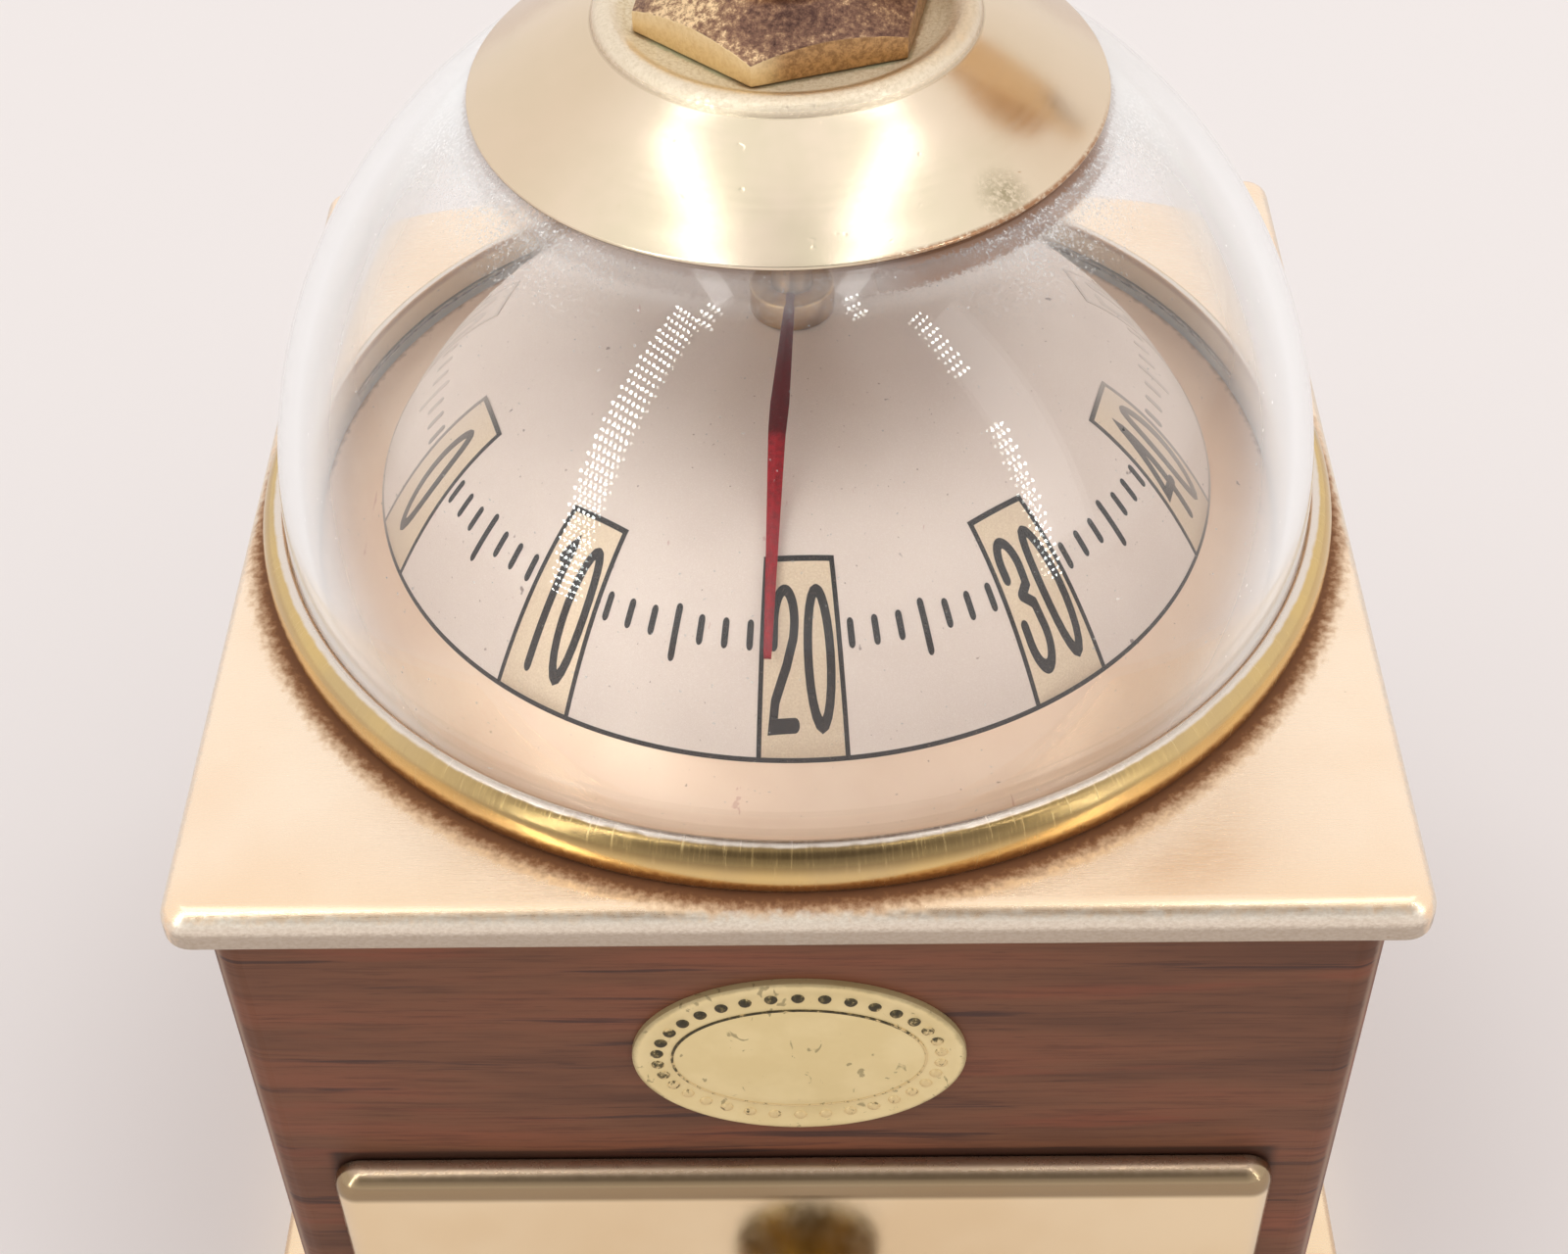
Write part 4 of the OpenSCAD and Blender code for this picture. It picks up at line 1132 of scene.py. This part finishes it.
def build_print():
    ink_lift = 0.05
    fill_lift = 0.03
    box_top_r, box_top_half, box_foot_half = 23.9, 2.27, 3.16
    head_r, foot_r = 25.7, 31.9
    digit_h = head_r - foot_r
    line_w, frame_w, tick_w, digit_w = 0.25, 0.34, 0.46, 0.6

    def half_at(radius):
        share = (radius - box_top_r) / (DIAL_R - box_top_r)
        return box_top_half + (box_foot_half - box_top_half) * share

    radii = [box_top_r + (DIAL_R - box_top_r) * k / 12 for k in range(13)]
    fills, frames, numbers, ticks = [], [], [], []
    for value in range(0, 100, 10):
        azimuth = ZERO_AZ + value * MINUTE_DEG
        fills.append(dial_strip([(0, r, 1, 0, half_at(r)) for r in radii], azimuth, fill_lift, 10))
        for side in (-1, 1):
            edge = [(side * half_at(r), r, 1, 0, frame_w / 2) for r in radii]
            frames.append(dial_strip(edge, azimuth, ink_lift))
        reach = half_at(box_top_r) + frame_w / 2
        top = [(reach * (k / 6 - 1), box_top_r, 0, 1, frame_w / 2) for k in range(13)]
        frames.append(dial_strip(top, azimuth, ink_lift))
        text = str(value)
        digit_box = 0.57 if len(text) > 1 else 0.64
        step = 0.885
        for place, digit in enumerate(text):
            centre = (place - (len(text) - 1) / 2) * step + 0.02
            for line in DIGITS[digit]:
                spots = [(centre + (x - 0.5) * digit_box, foot_r + digit_h * y) for x, y in line]
                points = [(u * half_at(r), r) for u, r in spots]
                numbers.append(dial_strip(stroke(points, digit_w), azimuth, ink_lift))
        for minute in range(2, 9):
            tick_az = azimuth + minute * MINUTE_DEG
            inner, outer = (27.2, 29.5) if minute == 5 else (27.55, 28.55)
            ticks.append(dial_strip(stroke([(0, inner), (0, outer)], tick_w), tick_az, ink_lift))
    ink = print_ink()
    make("number_grounds", fills, "case", "dial_print", finish=box_gold())
    make("number_frames", frames, "case", "dial_print", finish=ink)
    make("dial_numbers", numbers, "case", "dial_print", finish=ink)
    make("minute_ticks", ticks, "case", "dial_print", finish=ink)
    half = line_w / 2
    z_in, z_out = bell_z(DIAL_R - half), bell_z(DIAL_R + half)
    outline = [(DIAL_R - half, z_in - 0.06), (DIAL_R - half, z_in + ink_lift),
               (DIAL_R + half, z_out + ink_lift), (DIAL_R + half, z_out - 0.3)]
    make_round("scale_line", outline, "dial_print", sharp=32, finish=ink)


def build_pointer():
    """Folded hand: near level from the hub, then bent down over the scale."""
    stations = [(1.6, 20.7, 0.36), (8, 20.48, 0.52), (14, 20.3, 0.68), (16.6, 20.21, 0.64),
                (17.2, 20.12, 0.62), (17.8, 19.75, 0.6), (23, 15.9, 0.45), (29.4, 11.15, 0.29),
                (30, 10.7, 0.27)]
    thick = 0.3
    loops = []
    for radius, z, half in stations:
        section = [(-half, 0.08), (-half * 0.5, thick * 0.75), (0, thick), (half * 0.5, thick * 0.75),
                   (half, 0.08), (half, 0), (-half, 0)]
        loops.append([(radius, y, z + lift) for y, lift in section])
    turn = Matrix.Translation((0, 0, PLATE_Z)) @ spin(POINTER_AZ - 90)
    make("red_pointer", [moved(skin(loops), turn)], "crank", "pointer_red", ["pointer"], sharp=20)


# Crank


def on_crank(solid):
    return moved(solid, spin(CRANK_ANGLE))


def build_hub():
    corner = HEX_ACROSS / sqrt(3)
    slope = tan(radians(30))
    edge_z = hex_low.z + 1.6
    boss_r = 6
    body = hex_prism(hex_low.z, edge_z, HEX_ACROSS, HEX_AZ, boss_r + 0.6, slope)
    shoulder = edge_z + (corner - boss_r - 0.6) * slope
    outline = fillet([(0, hex_low.z + 1, 0), (boss_r, hex_low.z + 1, 0), (boss_r, shoulder, 0),
                      (boss_r, hex_high.z, 0.35), (0, hex_high.z, 0)], closed=False)
    make("hexagonal_hub", [body, lathe(outline, HUB_ROUND)], "crank", "hub_brass", ["hex_hub"])


def build_arm():
    """Flat bar with rounded edges, stepped up before the knob."""
    low, thick, rise = arm_low.z, 2.0, 4.0
    boss_r, end_r = 6.0, 4.5
    reach = CRANK_R + end_r
    edge = 0.45

    def half_at(s):
        bar = boss_r - 0.6 + (end_r - 0.3 - boss_r + 0.6) * s / CRANK_R
        half = bar if 0 < s < CRANK_R else 0
        if abs(s) < boss_r:
            half = max(half, sqrt(boss_r ** 2 - s ** 2))
        if abs(s - CRANK_R) < end_r:
            half = max(half, sqrt(end_r ** 2 - (s - CRANK_R) ** 2))
        return half

    def lift_at(s):
        share = min(max((s - 12) / 8, 0), 1)
        return rise * share * share * (3 - 2 * share)

    ends = [1 - cos(radians(a)) for a in range(6, 91, 7)]
    stations = [-boss_r + boss_r * e for e in ends] + [0.6 + 0.8 * k for k in range(46)]
    stations += [CRANK_R + end_r * (1 - e) for e in reversed(ends)]
    stations = sorted(s for s in set(stations) if -boss_r < s < reach)
    loops = []
    for s in stations:
        half, z = half_at(s), low + lift_at(s)
        r = min(edge, half * 0.8)
        flat = half - r
        low_z, high_z = z + edge, z + thick - edge
        section = []
        for k, centre in enumerate(((flat, low_z), (flat, high_z), (-flat, high_z), (-flat, low_z))):
            section += arc(centre, (r, edge), 90 * k - 90, 90 * k, 4)
        loops.append([(s, y, height) for y, height in section])
    make("crank_bar", [on_crank(skin(loops))], "crank", "plate_gold", ["crank_arm"], finish=CRANK_GOLD)


def build_nut():
    low = nut_low.z
    across = 5 * sqrt(3)
    slope = tan(radians(25))
    body = hex_prism(low, low + 2.7, across, 90 - CRANK_ANGLE, 3.6, slope)
    top = nut_high.z
    dome_r = 3.9
    outline = [(0, low + 1), (dome_r, low + 1), (dome_r, low + 3.1)]
    outline += arc((0, low + 3.2), (dome_r, top - low - 3.2), 0, 90, 14)
    make("acorn_nut", [body, lathe(outline, HUB_ROUND)], "crank", "hub_brass", ["crank_nut"],
         finish=FINISH["knob_brass"])


def build_crank_knob():
    low = grip_low.z
    bore = 1.6
    foot = [(0, 0, 0), (4.8, 0, 0.35), (4.9, 1.2, 0.5), (3.85, 2.4, 1.2), (3.9, 4.2, 0)]
    outline = [(bore, 0), *fillet(foot, closed=False)[1:]]
    outline += arc((0, 11.4), 8, -48, 76, 40)
    height = grip_high.z - low
    outline += [(1.7, height), (bore, height - 0.1)]
    knob = lathe([(r, z + low) for r, z in outline], KNOB_ROUND)
    place = spin(CRANK_ANGLE) @ Matrix.Translation((CRANK_R, 0, 0))
    make("turned_crank_knob", [moved(knob, place)], "grip", "knob_wood", ["crank_knob"])


# Drawer


def build_drawer():
    low, high = front_low, front_high
    width, height = high.x - low.x, high.z - low.z
    mid = (low + high) / 2

    def panel_loop(inset, y):
        points = []
        radius = max(2.4 - inset, 0.4)
        half_w, half_h = width / 2 - inset - radius, height / 2 - inset - radius
        for sx, sz, start in ((1, 1, 0), (-1, 1, 90), (-1, -1, 180), (1, -1, 270)):
            for x, z in arc((sx * half_w, sz * half_h), radius, start, start + 90, 8):
                points.append((mid.x + x, y, mid.z + z))
        return points

    round_r = min(1.9, high.y - low.y - 0.4)
    loops = [panel_loop(0.15, high.y), panel_loop(0, high.y - 0.15)]
    for angle in range(0, 91, 10):
        a = radians(angle)
        loops.append(panel_loop(round_r * (1 - cos(a)), low.y + round_r * (1 - sin(a))))
    make("drawer_face", [skin(loops)], "drawer", "drawer_gold", ["drawer_front"])

    head_r = (knob_high.z - knob_low.z) / 2
    length = knob_high.y - knob_low.y
    corners = [(0, 0, 0), (4.6, 0, 0), (4.6, 0.9, 0.35), (2.75, 2.2, 1.2), (2.65, 5.2, 2),
               (4.9, 6.6, 0.9), (head_r, 7.3, 0.9), (head_r, 9.2, 1.1), (3.5, length - 0.35, 3),
               (0, length, 0)]
    outline = fillet(corners, steps=7, closed=False)
    centre = (knob_low + knob_high) / 2
    place = Matrix.Translation((centre.x, knob_high.y, centre.z)) @ spin(90, "X")
    make("turned_drawer_knob", [moved(lathe(outline, KNOB_ROUND), place)], "drawer", "knob_brass",
         ["drawer_knob"], sharp=40, finish=SHADED_KNOB_BRASS)


build_plates()
build_plaque()
build_ring()
build_dome()
build_cap()
build_dial()
build_print()
build_pointer()
build_hub()
build_arm()
build_nut()
build_crank_knob()
build_drawer()


# Studio: floor, sky, lamps and camera


def build_floor():
    mesh = bpy.data.meshes.new("studio_floor")
    half = 3.0
    corners = [(-half, -half, 0), (half, -half, 0), (half, half, 0), (-half, half, 0)]
    mesh.from_pydata(corners, [], [(0, 1, 2, 3)])
    mesh.materials.append(studio_floor())
    new_object("studio_floor", mesh)


def build_sky():
    """White tent all round, dimmer where its front opens."""
    world = bpy.data.worlds.new("studio_sky")
    world.use_nodes = True
    tree = world.node_tree
    background = tree.nodes["Background"]
    coords = tree.nodes.new("ShaderNodeTexCoord")
    facing = tree.nodes.new("ShaderNodeVectorMath")
    facing.operation = "DOT_PRODUCT"
    opening = Vector((0, -1, 1)).normalized()
    facing.inputs[1].default_value = opening
    ramp = tree.nodes.new("ShaderNodeValToRGB")
    ramp.color_ramp.interpolation = "EASE"
    tree.links.new(coords.outputs["Generated"], facing.inputs[0])
    tree.links.new(facing.outputs["Value"], ramp.inputs[0])
    tree.links.new(ramp.outputs[0], background.inputs["Color"])
    stops = [(0.7, (1, 0.985, 0.975, 1)), (0.92, (0.64, 0.62, 0.61, 1)), (0.985, (0.3, 0.28, 0.27, 1))]
    elements = ramp.color_ramp.elements
    elements.new(0.9)
    for element, (position, colour) in zip(elements, stops):
        element.position = position
        element.color = colour
    background.inputs["Strength"].default_value = 1.04
    bpy.context.scene.world = world


def aimed(azimuth, elevation, distance):
    """Matrix of something that stands at azimuth and elevation and looks at the dome."""
    target = Vector((0, 0, (PLATE_Z + 20) * MM))
    x, y = at_azimuth(distance * cos(radians(elevation)), azimuth)
    away = Vector((x, y, distance * sin(radians(elevation))))
    return Matrix.Translation(target + away) @ away.to_track_quat("Z", "Y").to_matrix().to_4x4()


def glow(name, strength):
    """Cool white light of a diode."""
    material = bpy.data.materials.new(name)
    material.use_nodes = True
    shader = material.node_tree.nodes["Principled BSDF"]
    shader.inputs["Base Color"].default_value = (0, 0, 0, 1)
    shader.inputs["Emission Color"].default_value = (0.94, 1, 0.98, 1)
    shader.inputs["Emission Strength"].default_value = strength
    return material


BAR_DISTANCE = 0.7


def diode_bar(name, azimuth, elevation, columns, rows, strength, dark_rows=()):
    """Bar of small round diodes in staggered rows, lit towards the dome."""
    pitch_x, pitch_y, radius, sides = 0.014, 0.022, 0.0043, 8
    vertices, faces = [], []
    for row in range(rows):
        if row in dark_rows:
            continue
        for column in range(columns):
            x = (column - (columns - 1) / 2 + 0.25 * (-1) ** row) * pitch_x
            y = (row - (rows - 1) / 2) * pitch_y
            start = len(vertices)
            vertices += [(px, py, 0) for px, py in arc((x, y), radius, 0, 360, sides)[:-1]]
            faces.append(tuple(range(start, start + sides)))
    mesh = bpy.data.meshes.new(name)
    mesh.from_pydata(vertices, [], faces)
    mesh.materials.append(glow(name, strength))
    bar = new_object(name, mesh)
    bar.matrix_world = aimed(azimuth, elevation, BAR_DISTANCE)
    bar.visible_camera = False
    bar.visible_diffuse = False


def lamp(name, azimuth, elevation, distance, size, power, roll=0):
    """Area lamp aimed at the dome; azimuth and elevation say where it stands."""
    data = bpy.data.lights.new(name, "AREA")
    data.shape = "RECTANGLE"
    data.size, data.size_y = size
    data.energy = power
    new_object(name, data).matrix_world = aimed(azimuth, elevation, distance) @ spin(roll)


def build_camera():
    """Looks down on the dome from the front, a little from the right."""
    yaw, pitch, roll = radians(-1.29), radians(44.48), radians(-1.48)
    unit = PLATE_W * MM
    ahead = Vector((sin(yaw) * cos(pitch), cos(yaw) * cos(pitch), -sin(pitch)))
    right = Vector((cos(yaw), -sin(yaw), 0))
    up = right.cross(ahead)
    right, up = (cos(roll) * right + sin(roll) * up, cos(roll) * up - sin(roll) * right)
    data = bpy.data.cameras.new("camera")
    data.sensor_width = 36
    data.lens = 55.24
    data.clip_start = 0.01
    camera = new_object("camera", data)
    place = Vector((0.0233, -1.6674, 1.4599)) * unit + Vector((0, 0, PLATE_Z * MM))
    axes = Matrix((right, up, -ahead)).transposed()
    camera.matrix_world = Matrix.Translation(place) @ axes.to_4x4()
    bpy.context.scene.camera = camera


build_floor()
build_sky()
diode_bar("left_bar", -45.5, 31, 6, 38, 38)
diode_bar("right_bar", 52, 29, 3, 36, 30, dark_rows=range(20, 26))
diode_bar("left_patch", -38, 63, 3, 3, 26)
diode_bar("right_patch", 32, 66, 3, 3, 22)
lamp("left_top", -78.8, 69.9, 0.8, (0.06, 0.46), 0.22, roll=-79)
lamp("right_top", 77.2, 71.6, 0.8, (0.06, 0.46), 0.22, roll=77)
lamp("right_panel", 58, 30, 0.75, (0.15, 0.7), 0.25)
build_camera()

view_settings = bpy.context.scene.view_settings
view_settings.view_transform = "Standard"
view_settings.look = "None"
